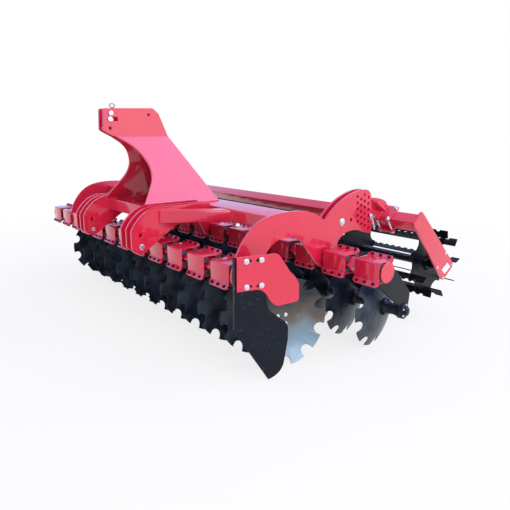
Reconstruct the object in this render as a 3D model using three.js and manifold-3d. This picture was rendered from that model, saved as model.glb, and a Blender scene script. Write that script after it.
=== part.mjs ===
// A mounted compact disc harrow: two rows of dished, notched discs on rubber-sprung arms, a three-point
// headstock, S-shaped side plates and a cage roller on a hinged frame. Millimetres, +Z up, travel to -Y.
// Inside the machine group, Y = 0 and Z = 0 are the axis of the front gang tube, and X = 0 is the middle.
import * as THREE from 'three';
import { mergeVertices } from 'three/addons/utils/BufferGeometryUtils.js';
import Module from 'manifold-3d';

const wasm = await Module();
wasm.setup();

// Driving dimensions
const discsPerRow = 12;
const discPitch = 250;
const rowSpacing = 690;
const fitGap = 0.3;
const swingGap = 5;
const overlap = 2;

const disc = {
  radius: 280, thickness: 6, dishRadius: 600, midRadius: 176, notches: 10, notchDepth: 52,
  notchHalfAngle: 7.2, angle: 12, hubFlange: 60, hubFlangeThickness: 12, hub: 40,
};
const arm = { reach: 297, discTop: 57, thickness: 20, boss: 52, bossWidth: 46 };
const gang = { tube: 70, wall: 8, rubber: 18, shell: 6, clampWidth: 178, flange: 34, corner: 8 };
const cap = { radius: 62, thickness: 8, pastClamp: 8, pastLastClamp: 89 };
const sidePlate = { thickness: 16, lobeThickness: 16, armThickness: 24 };
const mainBeam = { front: 314, depth: 250, bottom: 200, height: 85, wall: 8, legThickness: 16 };
const hitch = {
  plateX: [327, 401, 475], thickness: 16, front: -284, top: 304, pinHole: 14, upperPin: [-220, 133],
  lowerPin: [-216, 57], pin: 14, pinHead: 19, crossFront: -83, crossSize: 85, crossWall: 6,
  braceSize: 80, braceEndX: 690,
};
const tower = {
  gap: 54, thickness: 16, front: -236, top: 947, bend: 746, rearAtBend: 259, rearAtFoot: 504, footX: 327,
  topLinkHole: 13, backThickness: 12,
};
const roller = {
  behind: 1015, z: -175, radius: 262, valley: 205, bars: 9, plates: 5, plateThickness: 10, pastRow: 5,
  barHeight: 58, barThickness: 8, barTilt: 22, barPast: 113, axle: 30, axleWall: 5, stub: 22,
};
const rollerFrame = {
  pivotBehind: 135, pivotZ: 216, pin: 15, beamBehind: 632, beamZ: 187, beam: 88, wall: 6, tilt: 36,
  endArmGap: 119, endArmThickness: 16, saddleLength: 150, saddleWidth: 130, saddleOffset: 40, saddle: 14,
  bolt: 8,
};
const deflector = {
  toe: 12, thickness: 6, flange: 24, front: -134, offFloor: 6, bracketThickness: 10, tubeClearance: 3,
};

const redPaint = { color: 0xc5172d, roughness: 0.4, metalness: 0.0 };
const blackPaint = { color: 0x1c2127, roughness: 0.45, metalness: 0.0 };
const discSteel = { color: 0x23282e, roughness: 0.35, metalness: 0.6 };
const rad = THREE.MathUtils.degToRad;

// Worked out from the driving dimensions
const rubberCentre = (gang.tube / 2 + gang.rubber) / Math.SQRT2;
const housingInner = rubberCentre + gang.rubber;
const housingOuter = housingInner + gang.shell;
const halfDiagonal = gang.tube / Math.SQRT2;
const firstClampX = (discsPerRow - 1) / 2 * discPitch;
const discOffset = 0.75 * discPitch;
const discDrop = disc.radius + arm.discTop;
const sidePlateX = (discsPerRow / 2 - 1) * discPitch;
const rollerHalf = firstClampX + roller.pastRow;
const endArmInside = rollerHalf + roller.plateThickness / 2 + rollerFrame.endArmGap;
const endArmX = endArmInside + rollerFrame.endArmThickness / 2;
const behindRear = (y) => rowSpacing + y;
const rollerY = behindRear(roller.behind);
const pivotY = behindRear(rollerFrame.pivotBehind);
const beamY = behindRear(rollerFrame.beamBehind);
const frontClampX = (k) => firstClampX - discPitch - k * discPitch;
const rearClampX = (k) => firstClampX + discPitch - k * discPitch;
const tubeLongX = rearClampX(0) + gang.clampWidth / 2 + cap.pastClamp;
const tubeShortX = gang.clampWidth / 2 + cap.pastLastClamp - rearClampX(discsPerRow - 1);
const discLow = discDrop + disc.radius * Math.cos(rad(disc.notchHalfAngle));
const lobeGap = sidePlate.armThickness + 2 * swingGap;
const rollerArmX = sidePlateX - (sidePlate.thickness + lobeGap) / 2;
const sag = (radius) => disc.dishRadius - Math.sqrt(disc.dishRadius ** 2 - radius ** 2);
const hubSpan = discOffset / Math.cos(rad(disc.angle));
const bossY = arm.reach + discOffset * Math.tan(rad(disc.angle));

// Solids and booleans
function toSolid(geometry) {
  geometry.deleteAttribute('normal');
  geometry.deleteAttribute('uv');
  const merged = mergeVertices(geometry, 1e-3);
  return new wasm.Manifold(new wasm.Mesh({
    numProp: 3,
    vertProperties: new Float32Array(merged.attributes.position.array),
    triVerts: new Uint32Array(merged.index.array),
  }));
}

function toGeometry(solid) {
  const mesh = solid.getMesh();
  const geometry = new THREE.BufferGeometry();
  geometry.setAttribute('position', new THREE.BufferAttribute(new Float32Array(mesh.vertProperties), 3));
  geometry.setIndex(new THREE.BufferAttribute(new Uint32Array(mesh.triVerts), 1));
  geometry.computeVertexNormals();
  return geometry;
}

const join = (solids) => solids.reduce((whole, solid) => whole.add(solid));
const cut = (solid, tools) => tools.reduce((rest, tool) => rest.subtract(tool), solid);
const mirrorX = (solid, side) => (side > 0 ? solid : solid.mirror([1, 0, 0]));
const outline = (points) => new THREE.Shape(points.map(([a, b]) => new THREE.Vector2(a, b)));

// A shape drawn as (Y, Z), extruded along X and centred on x
function sheetYZ(shape, thickness, x, curveSegments = 3) {
  const settings = { depth: thickness, bevelEnabled: false, curveSegments };
  const geometry = new THREE.ExtrudeGeometry(shape, settings);
  geometry.applyMatrix4(new THREE.Matrix4().makeBasis(
    new THREE.Vector3(0, 1, 0), new THREE.Vector3(0, 0, 1), new THREE.Vector3(1, 0, 0),
  ));
  return toSolid(geometry).translate([x - thickness / 2, 0, 0]);
}

// A round bar along X
function barX(radius, fromX, toX, y, z, sides = 12) {
  const geometry = new THREE.CylinderGeometry(radius, radius, toX - fromX, sides);
  geometry.rotateZ(Math.PI / 2);
  return toSolid(geometry).translate([(fromX + toX) / 2, y, z]);
}

function block(fromX, toX, fromY, toY, fromZ, toZ) {
  const geometry = new THREE.BoxGeometry(toX - fromX, toY - fromY, toZ - fromZ);
  return toSolid(geometry).translate([(fromX + toX) / 2, (fromY + toY) / 2, (fromZ + toZ) / 2]);
}

// A square bar along X, turned by tilt about its own axis
const squareBarX = (size, fromX, toX, tilt) => block(fromX, toX, -size / 2, size / 2, -size / 2, size / 2)
  .rotate([tilt, 0, 0]);

// One dished disc with its hub. The rim's plane is X = 0, the hollow side faces +X and the hub reaches -X.
function discGeometry() {
  const steps = 4;
  const count = disc.notches * steps;
  const rimSag = sag(disc.radius);
  const half = disc.thickness / 2;
  const pitch = 360 / disc.notches;
  const rimAngles = [0, disc.notchHalfAngle, pitch / 2, pitch - disc.notchHalfAngle];
  const turnOf = (i, number) => i / number * 2 * Math.PI;
  const even = (number, radius, x) => (
    Array.from({ length: number }, (_, i) => [x, radius, turnOf(i, number)])
  );
  const dished = (points, offset) => (
    points.map(([, radius, angle]) => [sag(radius) - rimSag + offset, radius, angle])
  );
  const rim = Array.from({ length: count }, (_, i) => {
    const radius = i % steps === 0 ? disc.radius - disc.notchDepth : disc.radius;
    return [0, radius, rad(Math.floor(i / steps) * pitch + rimAngles[i % steps])];
  });
  const inner = even(count / 4, disc.hubFlange, 0);
  const middle = even(count / 4, disc.midRadius, 0);
  const flangeX = sag(disc.hubFlange) - rimSag - half - disc.hubFlangeThickness;
  const hubEndX = -hubSpan + arm.bossWidth / 2 + fitGap;
  const rings = [
    dished(inner, half), dished(middle, half), dished(rim, half),
    dished(rim, -half), dished(middle, -half), dished(inner, -half),
    even(count / 4, disc.hubFlange, flangeX), even(count / 4, disc.hub, flangeX),
    even(count / 4, disc.hub, hubEndX),
  ];
  const positions = [sag(disc.hubFlange) - rimSag + half, 0, 0];
  const starts = rings.map((ring) => {
    const start = positions.length / 3;
    for (const [x, radius, angle] of ring) {
      positions.push(x, radius * Math.sin(angle), -radius * Math.cos(angle));
    }
    return start;
  });
  const last = positions.length / 3;
  positions.push(hubEndX, 0, 0);
  const faces = [];
  for (let i = 0; i < rings[0].length; i += 1) {
    const next = (i + 1) % rings[0].length;
    faces.push(0, starts[0] + i, starts[0] + next);
    faces.push(last, starts.at(-1) + next, starts.at(-1) + i);
  }
  for (let r = 0; r + 1 < rings.length; r += 1) {
    stitch(faces, starts[r], rings[r].length, starts[r + 1], rings[r + 1].length);
  }
  const geometry = new THREE.BufferGeometry();
  geometry.setAttribute('position', new THREE.Float32BufferAttribute(positions, 3));
  geometry.setIndex(faces);
  geometry.computeVertexNormals();
  return geometry;
}

// Faces between two rings of points, where one has as many points as the other or a multiple of them
function stitch(faces, a, aCount, b, bCount) {
  const count = Math.min(aCount, bCount);
  const many = Math.max(aCount, bCount) / count;
  const [few, rest] = aCount <= bCount ? [a, b] : [b, a];
  const add = (p, q, r) => (aCount <= bCount ? faces.push(p, q, r) : faces.push(p, r, q));
  for (let i = 0; i < count; i += 1) {
    const next = (i + 1) % count;
    const corner = Math.ceil(many / 2);
    for (let j = 0; j < many; j += 1) {
      const from = j < corner ? few + i : few + next;
      add(from, rest + many * i + j, rest + (many * i + j + 1) % (many * count));
    }
    add(few + i, rest + (many * i + corner) % (many * count), few + next);
  }
}

// The clamp round the gang tube, as (Y, Z): two bent shells that meet in flanges on one diagonal, with the
// rubber rolls squeezed into the corners that the tube leaves
function clampShape() {
  const reach = gang.flange / Math.SQRT2;
  const skew = gang.shell / Math.SQRT2;
  const turn = gang.shell * (Math.SQRT2 - 1);
  const half = [
    [-housingOuter, -housingInner + turn], [-housingOuter, housingOuter - gang.corner],
    [-housingOuter + gang.corner, housingOuter], [housingInner - turn, housingOuter],
    [housingInner + reach - skew, housingInner + reach + skew],
    [housingInner + reach + skew, housingInner + reach - skew],
  ];
  const shape = outline([...half, ...half.map(([y, z]) => [-y, -z])]);
  const room = halfDiagonal + fitGap * Math.SQRT2;
  shape.holes.push(outline([[-room, 0], [0, -room], [room, 0], [0, room]]));
  return shape;
}

function armPlateShape() {
  const bossZ = -discDrop;
  const shape = new THREE.Shape();
  shape.moveTo(-20, -housingOuter + overlap);
  shape.quadraticCurveTo(20, -100, 70, -130);
  shape.lineTo(bossY - 0.9 * arm.boss, bossZ + 0.75 * arm.boss);
  shape.lineTo(bossY, bossZ - 0.5 * arm.boss);
  shape.lineTo(bossY + 0.9 * arm.boss, bossZ);
  shape.lineTo(bossY + 58, bossZ + 96);
  shape.quadraticCurveTo(bossY + 60, bossZ + 114, bossY + 49, bossZ + 127);
  shape.lineTo(234, -54);
  shape.quadraticCurveTo(180, -8, housingOuter - overlap, 24);
  shape.lineTo(housingOuter - overlap, -housingOuter + overlap);
  return shape;
}

// One arm about its clamp's centre: the clamp with its rubber, the arm plate and its boss.
// side = 1 carries the disc on the +X side, side = -1 on the -X side.
function armGeometry(side) {
  const boss = barX(arm.boss, -arm.bossWidth / 2, arm.bossWidth / 2, 0, 0, 10)
    .rotate([0, 0, -side * disc.angle])
    .translate([0, bossY, -discDrop]);
  const clamp = sheetYZ(clampShape(), gang.clampWidth, 0);
  const plate = sheetYZ(armPlateShape(), arm.thickness, 0, 2);
  return toGeometry(join([clamp, plate, boss]));
}

// A gang tube with its bore, its drain hole and a round cap over the end at capX
function gangTube(fromX, toX, capSides) {
  const tube = squareBarX(gang.tube, fromX, toX, 45);
  const bore = squareBarX(gang.tube - 2 * gang.wall, fromX + gang.wall, toX - gang.wall, 45);
  const caps = capSides.map((side) => {
    const x = side > 0 ? toX : fromX - cap.thickness;
    return barX(cap.radius, x, x + cap.thickness, 0, 0, 20);
  });
  const drain = block(-6, 6, -6, 6, -halfDiagonal - 1, 0).translate([discPitch / 5, 0, 0]);
  return join([tube, ...caps]).subtract(bore).subtract(drain);
}

// Turns what stands square to X at the tube's near end out by the deflector's toe angle
const toedOut = (solid) => solid.rotate([0, 0, -deflector.toe]).translate([firstClampX, 0, 0]);

function bracketShape() {
  const shape = new THREE.Shape();
  shape.moveTo(-116, 142);
  shape.lineTo(110, 140);
  shape.quadraticCurveTo(140, 138, 155, 112);
  shape.lineTo(215, 25);
  shape.quadraticCurveTo(276, -28, 276, -70);
  shape.lineTo(276, -135);
  shape.quadraticCurveTo(274, -156, 256, -158);
  shape.lineTo(144, -165);
  shape.quadraticCurveTo(110, -160, 82, -116);
  shape.quadraticCurveTo(50, -54, 2, -50);
  shape.lineTo(-116, -49);
  return shape;
}

function frontGangTubeGeometry() {
  const tube = gangTube(-tubeLongX, firstClampX + 20, [-1]);
  const beyond = toedOut(block(0, 200, -200, 200, -200, 200));
  const bracket = toedOut(sheetYZ(bracketShape(), deflector.bracketThickness, 0));
  return toGeometry(tube.subtract(beyond).add(bracket));
}

function deflectorGeometry() {
  const low = -discLow + deflector.offFloor;
  const cornerZ = Math.max(-320, low + 235);
  const face = -deflector.bracketThickness / 2 - fitGap;
  const shape = new THREE.Shape();
  shape.moveTo(deflector.front, 140);
  shape.lineTo(deflector.front, low + 345);
  shape.lineTo(88, low);
  shape.quadraticCurveTo(170, low + 14, 190, low + 80);
  shape.lineTo(215, low + 225);
  shape.lineTo(215, cornerZ);
  shape.quadraticCurveTo(212, cornerZ + 44, 168, cornerZ + 68);
  shape.lineTo(94, -188);
  shape.quadraticCurveTo(70, -150, 70, -110);
  shape.lineTo(70, 136);
  const half = halfDiagonal + deflector.tubeClearance * Math.SQRT2;
  shape.holes.push(outline([[-half, 0], [0, half], [half, 0], [0, -half]]));
  const sheet = sheetYZ(shape, deflector.thickness, face - deflector.thickness / 2);
  const flange = block(
    face - deflector.thickness, face - deflector.thickness + deflector.flange,
    deflector.front, deflector.front + deflector.thickness, low + 345, 140,
  );
  return toGeometry(toedOut(sheet.add(flange)));
}

// The upper edge and the end of the side plate's lobe, which its inner plate repeats
function drawLobe(shape) {
  shape.quadraticCurveTo(behindRear(110), 386, behindRear(314), 412);
  shape.lineTo(behindRear(375), 411);
  shape.quadraticCurveTo(behindRear(426), 402, behindRear(432), 345);
  shape.lineTo(behindRear(453), 160);
  shape.quadraticCurveTo(behindRear(460), 98, behindRear(418), 107);
  shape.lineTo(behindRear(303), 143);
}

function sidePlateShape() {
  const shape = new THREE.Shape();
  shape.moveTo(-74, 20);
  shape.lineTo(-35, 127);
  shape.quadraticCurveTo(40, 272, 160, 306);
  shape.quadraticCurveTo(250, 334, behindRear(-280), 326);
  shape.quadraticCurveTo(behindRear(-130), 318, behindRear(-40), 250);
  shape.lineTo(behindRear(-18), 250);
  drawLobe(shape);
  shape.quadraticCurveTo(behindRear(150), 164, behindRear(100), 80);
  shape.lineTo(behindRear(72), -28);
  shape.quadraticCurveTo(behindRear(52), -76, rowSpacing, -78);
  shape.quadraticCurveTo(behindRear(-60), -66, behindRear(-104), -8);
  shape.lineTo(behindRear(-218), 121);
  shape.quadraticCurveTo(behindRear(-260), 170, behindRear(-310), 170);
  shape.lineTo(286, 170);
  shape.quadraticCurveTo(210, 160, 160, 80);
  shape.lineTo(76, -10);
  shape.quadraticCurveTo(60, -76, 0, -76);
  shape.quadraticCurveTo(-80, -66, -74, 20);
  return shape;
}

function lobeShape() {
  const shape = new THREE.Shape();
  shape.moveTo(behindRear(-18), 250);
  drawLobe(shape);
  shape.quadraticCurveTo(behindRear(190), 164, behindRear(110), 130);
  shape.lineTo(behindRear(-50), 130);
  shape.lineTo(behindRear(-50), 220);
  return shape;
}

const tubeSlot = (y) => squareBarX(gang.tube + 2 * fitGap, -100, 100, 45).translate([0, y, 0]);

// The outer plate is centred on x = 0 here. The inner lobe plate, the spacer and the pivot pin are inboard.
function sidePlateGeometry() {
  const innerX = -(sidePlate.thickness + sidePlate.lobeThickness) / 2 - lobeGap;
  const outer = sheetYZ(sidePlateShape(), sidePlate.thickness, 0);
  const inner = sheetYZ(lobeShape(), sidePlate.lobeThickness, innerX);
  const spacer = block(innerX, 0, behindRear(-40), behindRear(50), 145, 205);
  const pin = barX(rollerFrame.pin, innerX - 20, 20, pivotY, rollerFrame.pivotZ);
  return cut(join([outer, inner, spacer, pin]), [tubeSlot(0), tubeSlot(rowSpacing)]);
}

// The centre leg under the main beam stands on both gang tubes
function centreLegShape() {
  const shape = new THREE.Shape();
  shape.moveTo(-74, 20);
  shape.quadraticCurveTo(-40, 120, 60, 140);
  shape.lineTo(mainBeam.front, mainBeam.bottom + overlap);
  shape.lineTo(mainBeam.front + mainBeam.depth, mainBeam.bottom + overlap);
  shape.quadraticCurveTo(rowSpacing + 60, 150, rowSpacing + 74, 20);
  shape.quadraticCurveTo(rowSpacing + 80, -70, rowSpacing, -76);
  shape.quadraticCurveTo(rowSpacing - 60, -66, rowSpacing - 104, -8);
  shape.quadraticCurveTo(520, 130, 440, 140);
  shape.lineTo(286, 140);
  shape.quadraticCurveTo(190, 120, 76, -10);
  shape.quadraticCurveTo(60, -76, 0, -76);
  shape.quadraticCurveTo(-80, -66, -74, 20);
  return shape;
}

function mainBeamGeometry() {
  const end = sidePlateX - sidePlate.thickness / 2 - fitGap;
  const { front, depth, bottom, height, wall } = mainBeam;
  const tube = block(-end, end, front, front + depth, bottom, bottom + height);
  const bore = block(
    -end - 1, end + 1, front + wall, front + depth - wall, bottom + wall, bottom + height - wall,
  );
  const leg = sheetYZ(centreLegShape(), mainBeam.legThickness, 0);
  return toGeometry(cut(tube.subtract(bore).add(leg), [tubeSlot(0), tubeSlot(rowSpacing)]));
}

function hitchPlateShape() {
  const rear = mainBeam.front - fitGap;
  const shape = new THREE.Shape();
  shape.moveTo(hitch.front, 50);
  shape.lineTo(hitch.front, 168);
  shape.quadraticCurveTo(-220, 282, -110, hitch.top);
  shape.lineTo(rear, hitch.top);
  shape.lineTo(rear, mainBeam.bottom);
  shape.lineTo(130, mainBeam.bottom);
  shape.quadraticCurveTo(60, 190, -40, 118);
  shape.lineTo(-166, 36);
  shape.quadraticCurveTo(-225, -20, hitch.front, 50);
  return shape;
}

// The diagonal square tube from the outer hitch plate back to the main beam, seen from above as (X, Y)
function braceSolid() {
  const startX = hitch.plateX.at(-1);
  const rear = mainBeam.front - fitGap;
  const wide = hitch.braceSize * 0.62;
  const shape = outline([
    [startX, hitch.crossFront], [startX + 20, hitch.crossFront], [hitch.braceEndX + wide, rear],
    [hitch.braceEndX - wide, rear], [startX, hitch.crossFront + 2.6 * wide],
  ]);
  const geometry = new THREE.ExtrudeGeometry(shape, { depth: hitch.braceSize, bevelEnabled: false });
  return toSolid(geometry).translate([0, 0, mainBeam.bottom]);
}

function lowerHitchGeometry() {
  const inmost = hitch.plateX[0] - hitch.thickness / 2;
  const outmost = hitch.plateX.at(-1) + hitch.thickness / 2;
  const halves = [1, -1].flatMap((side) => [
    ...hitch.plateX.map((x) => sheetYZ(hitchPlateShape(), hitch.thickness, side * x, 2)),
    mirrorX(barX(hitch.pin, inmost - 14, outmost + 4, ...hitch.lowerPin, 8), side),
    mirrorX(barX(hitch.pinHead, outmost - 1, outmost + 12, ...hitch.lowerPin, 10), side),
    mirrorX(braceSolid(), side),
  ]);
  const { crossFront, crossSize, crossWall } = hitch;
  const top = mainBeam.bottom + crossSize;
  const cross = block(-outmost + 1, outmost - 1, crossFront, crossFront + crossSize, mainBeam.bottom, top);
  const bore = block(
    -inmost + 1, inmost - 1, crossFront + crossWall, crossFront + crossSize - crossWall,
    mainBeam.bottom + crossWall, top - crossWall,
  );
  const crossMiddle = crossFront + crossSize / 2;
  const drain = block(-8, 8, crossMiddle - 8, crossMiddle + 8, mainBeam.bottom - 1, top - 20);
  const pinHole = barX(hitch.pinHole, inmost - 5, outmost + 5, ...hitch.upperPin, 8);
  const holes = [pinHole, mirrorX(pinHole, -1)];
  return toGeometry(cut(join([...halves, cross]), [bore, drain, ...holes]));
}

// Two plates, close together at the top link, bend outwards to the lower hitch, and a plate joins their rear
function headstockGeometry() {
  const { gap, thickness, bend, footX } = tower;
  const innerX = (gap + thickness) / 2;
  const beamTop = mainBeam.bottom + mainBeam.height;
  const drop = bend - beamTop;
  const slope = Math.hypot(drop, footX - innerX);
  const down = (z) => (bend - z) * slope / drop;
  const upper = new THREE.Shape();
  upper.moveTo(tower.front + 10, tower.top - 13);
  upper.lineTo(141, tower.top);
  upper.lineTo(185, tower.top - 38);
  upper.lineTo(tower.rearAtBend, bend - overlap);
  upper.lineTo(-150, bend - overlap);
  upper.quadraticCurveTo(-190, 766, tower.front, 790);
  const lower = new THREE.Shape();
  lower.moveTo(tower.rearAtBend, -overlap);
  lower.lineTo(-150, -overlap);
  lower.quadraticCurveTo(-20, down(690), 14, down(600));
  lower.quadraticCurveTo(52, down(530), 14, down(455));
  lower.quadraticCurveTo(-20, down(400), -98, down(hitch.top));
  lower.lineTo(-98, down(beamTop) + 10);
  lower.lineTo(tower.rearAtFoot, down(beamTop) + 10);
  const plates = [1, -1].flatMap((side) => {
    const geometry = new THREE.ExtrudeGeometry(
      lower, { depth: thickness, bevelEnabled: false, curveSegments: 4 },
    );
    geometry.translate(0, 0, -thickness / 2);
    const across = new THREE.Vector3(0, 1, 0);
    const along = new THREE.Vector3(side * (footX - innerX), 0, -drop).normalize();
    geometry.applyMatrix4(new THREE.Matrix4().makeBasis(across, along, across.clone().cross(along)));
    return [
      sheetYZ(upper, thickness, side * innerX, 4),
      toSolid(geometry).translate([side * innerX, 0, bend]),
    ];
  });
  const lean = new THREE.Vector3(0, tower.rearAtFoot - tower.rearAtBend, -drop);
  const length = lean.length() + 10;
  const back = new THREE.ExtrudeGeometry(
    outline([[-innerX, 0], [innerX, 0], [footX + 6, length], [-footX - 6, length]]),
    { depth: tower.backThickness, bevelEnabled: false },
  );
  back.translate(0, 0, -tower.backThickness - overlap);
  lean.normalize();
  const right = new THREE.Vector3(1, 0, 0);
  back.applyMatrix4(new THREE.Matrix4().makeBasis(right, lean, right.clone().cross(lean)));
  const backPlate = toSolid(back).translate([0, tower.rearAtBend, bend]);
  const upperBack = sheetYZ(
    outline([[183, tower.top - 40], [257, bend - overlap], [243, bend - overlap], [169, tower.top - 40]]),
    gap + thickness, 0,
  );
  const below = [
    block(-600, 600, -400, mainBeam.front, 0, hitch.top + fitGap),
    block(-600, 600, mainBeam.front - 1, 900, 0, beamTop + fitGap),
  ];
  const hole = barX(tower.topLinkHole, -100, 100, -177, 903);
  const slot = block(-100, 100, -191, -169, 849, 881);
  return toGeometry(cut(join([...plates, backPlate, upperBack]), [...below, hole, slot]));
}

// The roller arm swings between the side plate and its inner lobe, and a bolted saddle carries the roller
// beam. It is centred on x = 0 here, with the saddle towards +X.
function rollerArmGeometry(side) {
  const { pivotZ, beamZ, beam, tilt, saddle, saddleLength, saddleWidth, saddleOffset } = rollerFrame;
  const lift = beam / 2 + fitGap;
  const seat = lift + saddle - overlap;
  const half = saddleLength / 2;
  const onSaddle = (along) => [
    beamY + along * Math.cos(rad(tilt)) - seat * Math.sin(rad(tilt)),
    beamZ + along * Math.sin(rad(tilt)) + seat * Math.cos(rad(tilt)),
  ];
  const shape = new THREE.Shape();
  shape.moveTo(pivotY, pivotZ + 46);
  shape.lineTo(behindRear(350), 330);
  shape.quadraticCurveTo(behindRear(410), 348, behindRear(460), 347);
  shape.quadraticCurveTo(behindRear(572), 342, beamY, beamZ + beam / 2 + 75);
  shape.lineTo(...onSaddle(half - 4));
  shape.lineTo(...onSaddle(-half + 4));
  shape.lineTo(behindRear(526), 214);
  shape.quadraticCurveTo(behindRear(470), 248, behindRear(370), 238);
  shape.lineTo(pivotY, pivotZ - 46);
  shape.absarc(pivotY, pivotZ, 46, -Math.PI / 2, Math.PI / 2, true);
  const plate = sheetYZ(shape, sidePlate.armThickness, 0, 4);
  const around = beam / 2 + rollerFrame.bolt + 4;
  const onBeam = (solid) => solid.rotate([tilt, 0, 0]).translate([0, beamY, beamZ]);
  const from = saddleOffset - saddleWidth / 2;
  const to = saddleOffset + saddleWidth / 2;
  const clampPieces = [
    block(from, to, -half, half, lift, lift + saddle),
    block(from, to, -half, half, -lift - saddle, -lift),
    ...[from + 16, to - 16].flatMap((x) => [-around, around].map((y) => {
      const bolt = new THREE.CylinderGeometry(rollerFrame.bolt, rollerFrame.bolt, 2 * lift + 2, 8);
      bolt.rotateX(Math.PI / 2);
      return toSolid(bolt).translate([x, y, 0]);
    })),
  ].map(onBeam);
  const bore = barX((rollerFrame.pin + 1) / Math.cos(Math.PI / 12), -60, 60, pivotY, pivotZ);
  return toGeometry(mirrorX(join([plate, ...clampPieces]).subtract(bore), side));
}

function rollerBeamGeometry() {
  const { beamZ, beam, wall, tilt, endArmThickness } = rollerFrame;
  const end = endArmX - endArmThickness / 2 + overlap / 2;
  const hollow = squareBarX(beam - 2 * wall, -end + wall, end - wall, tilt);
  const tube = squareBarX(beam, -end, end, tilt).subtract(hollow);
  const drain = block(-6, 6, -6, 6, -beam, 0);
  const corners = [
    [559, 196], [647, 267], [659, 262], [1124, -162], [1142, -182], [1136, -200], [1022, -282], [1002, -285],
    [986, -270], [556, 180],
  ].map(([y, z]) => [behindRear(y), z]);
  const boreRadius = (roller.stub + 1) / Math.cos(Math.PI / 12);
  const bore = barX(boreRadius, -endArmThickness, endArmThickness, rollerY, roller.z);
  const endArm = sheetYZ(outline(corners), endArmThickness, 0).subtract(bore);
  const arms = [1, -1].map((side) => endArm.translate([side * endArmX, 0, 0]));
  return toGeometry(join([tube.subtract(drain).translate([0, beamY, beamZ]), ...arms]));
}

// The cage roller about its own axis: star plates on an axle, with flat bars through their tips
function rollerGeometry() {
  const { radius, valley, bars, plates, plateThickness, barHeight, barThickness } = roller;
  const star = outline(Array.from({ length: bars }, (_, i) => {
    const middle = rad((i * 360) / bars);
    const at = (degrees, r) => [r * Math.cos(middle + rad(degrees)), r * Math.sin(middle + rad(degrees))];
    return [at(-4, radius - 6), at(4, radius - 6), at(180 / bars, valley)];
  }).flat());
  const starPlates = Array.from({ length: plates }, (_, i) => {
    const x = -rollerHalf + (2 * rollerHalf * i) / (plates - 1);
    return sheetYZ(star, plateThickness, x);
  });
  const barEnd = rollerHalf + plateThickness / 2 + roller.barPast;
  const flatBars = Array.from({ length: bars }, (_, i) => (
    block(-barEnd, barEnd, -barHeight / 2, barHeight / 2, -barThickness / 2, barThickness / 2)
      .rotate([roller.barTilt, 0, 0])
      .translate([0, radius - barHeight / 2 - 2, 0])
      .rotate([(i * 360) / bars, 0, 0])
  ));
  const axle = barX(roller.axle, -rollerHalf, rollerHalf, 0, 0);
  const bore = barX(roller.axle - roller.axleWall, -rollerHalf + 20, rollerHalf - 20, 0, 0);
  const drain = block(-60, -50, -5, 5, 0, roller.axle + 5);
  const stubEnd = endArmX + rollerFrame.endArmThickness / 2 + 6;
  const stub = barX(roller.stub, -stubEnd, stubEnd, 0, 0);
  return toGeometry(cut(join([...starPlates, ...flatBars, axle, stub]), [bore, drain]));
}

const machine = new THREE.Group();

function place(name, geometry, look, x, y, z, turn = 0) {
  const mesh = new THREE.Mesh(geometry, new THREE.MeshStandardMaterial(look));
  mesh.name = name;
  mesh.position.set(x, y, z);
  mesh.rotation.z = rad(turn);
  machine.add(mesh);
}

const rows = [
  { name: 'front', y: 0, side: 1, clampX: frontClampX },
  { name: 'rear', y: rowSpacing, side: -1, clampX: rearClampX },
];
for (const { name, y, side, clampX } of rows) {
  const armShape = armGeometry(side);
  const discShape = discGeometry();
  for (let k = 0; k < discsPerRow; k += 1) {
    const x = clampX(k);
    const turn = side > 0 ? -disc.angle : 180 + disc.angle;
    place(`${name}_arm_${k + 1}`, armShape, redPaint, x, y, 0);
    const discX = x + side * discOffset;
    place(`${name}_disc_${k + 1}`, discShape, discSteel, discX, y + arm.reach, -discDrop, turn);
  }
}
place('front_gang_tube', frontGangTubeGeometry(), redPaint, 0, 0, 0);
const rearTube = toGeometry(gangTube(-tubeShortX, tubeLongX, [-1, 1]));
place('rear_gang_tube', rearTube, redPaint, 0, rowSpacing, 0);
place('side_deflector', deflectorGeometry(), blackPaint, 0, 0, 0);
place('main_beam', mainBeamGeometry(), redPaint, 0, 0, 0);
place('lower_hitch', lowerHitchGeometry(), redPaint, 0, 0, 0);
place('headstock', headstockGeometry(), redPaint, 0, 0, 0);
for (const [name, side] of [['left', 1], ['right', -1]]) {
  const sidePlateShell = toGeometry(mirrorX(sidePlateGeometry(), side));
  place(`side_plate_${name}`, sidePlateShell, redPaint, side * sidePlateX, 0, 0);
  place(`roller_arm_${name}`, rollerArmGeometry(side), redPaint, side * rollerArmX, 0, 0);
}
place('roller_beam', rollerBeamGeometry(), redPaint, 0, 0, 0);
place('roller', rollerGeometry(), blackPaint, 0, rollerY, roller.z);

// The origin is on the floor, under the middle of the whole machine
const bounds = new THREE.Box3().setFromObject(machine, true);
const middle = bounds.getCenter(new THREE.Vector3());
machine.position.set(-middle.x, -middle.y, -bounds.min.z);
const harrow = new THREE.Group();
harrow.add(machine);

export default harrow;
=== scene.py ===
# A mounted disc harrow in red powder coat, black enamel and bright zinc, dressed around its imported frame.
import math

import bmesh
import bpy
from mathutils import Matrix, Vector


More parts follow.
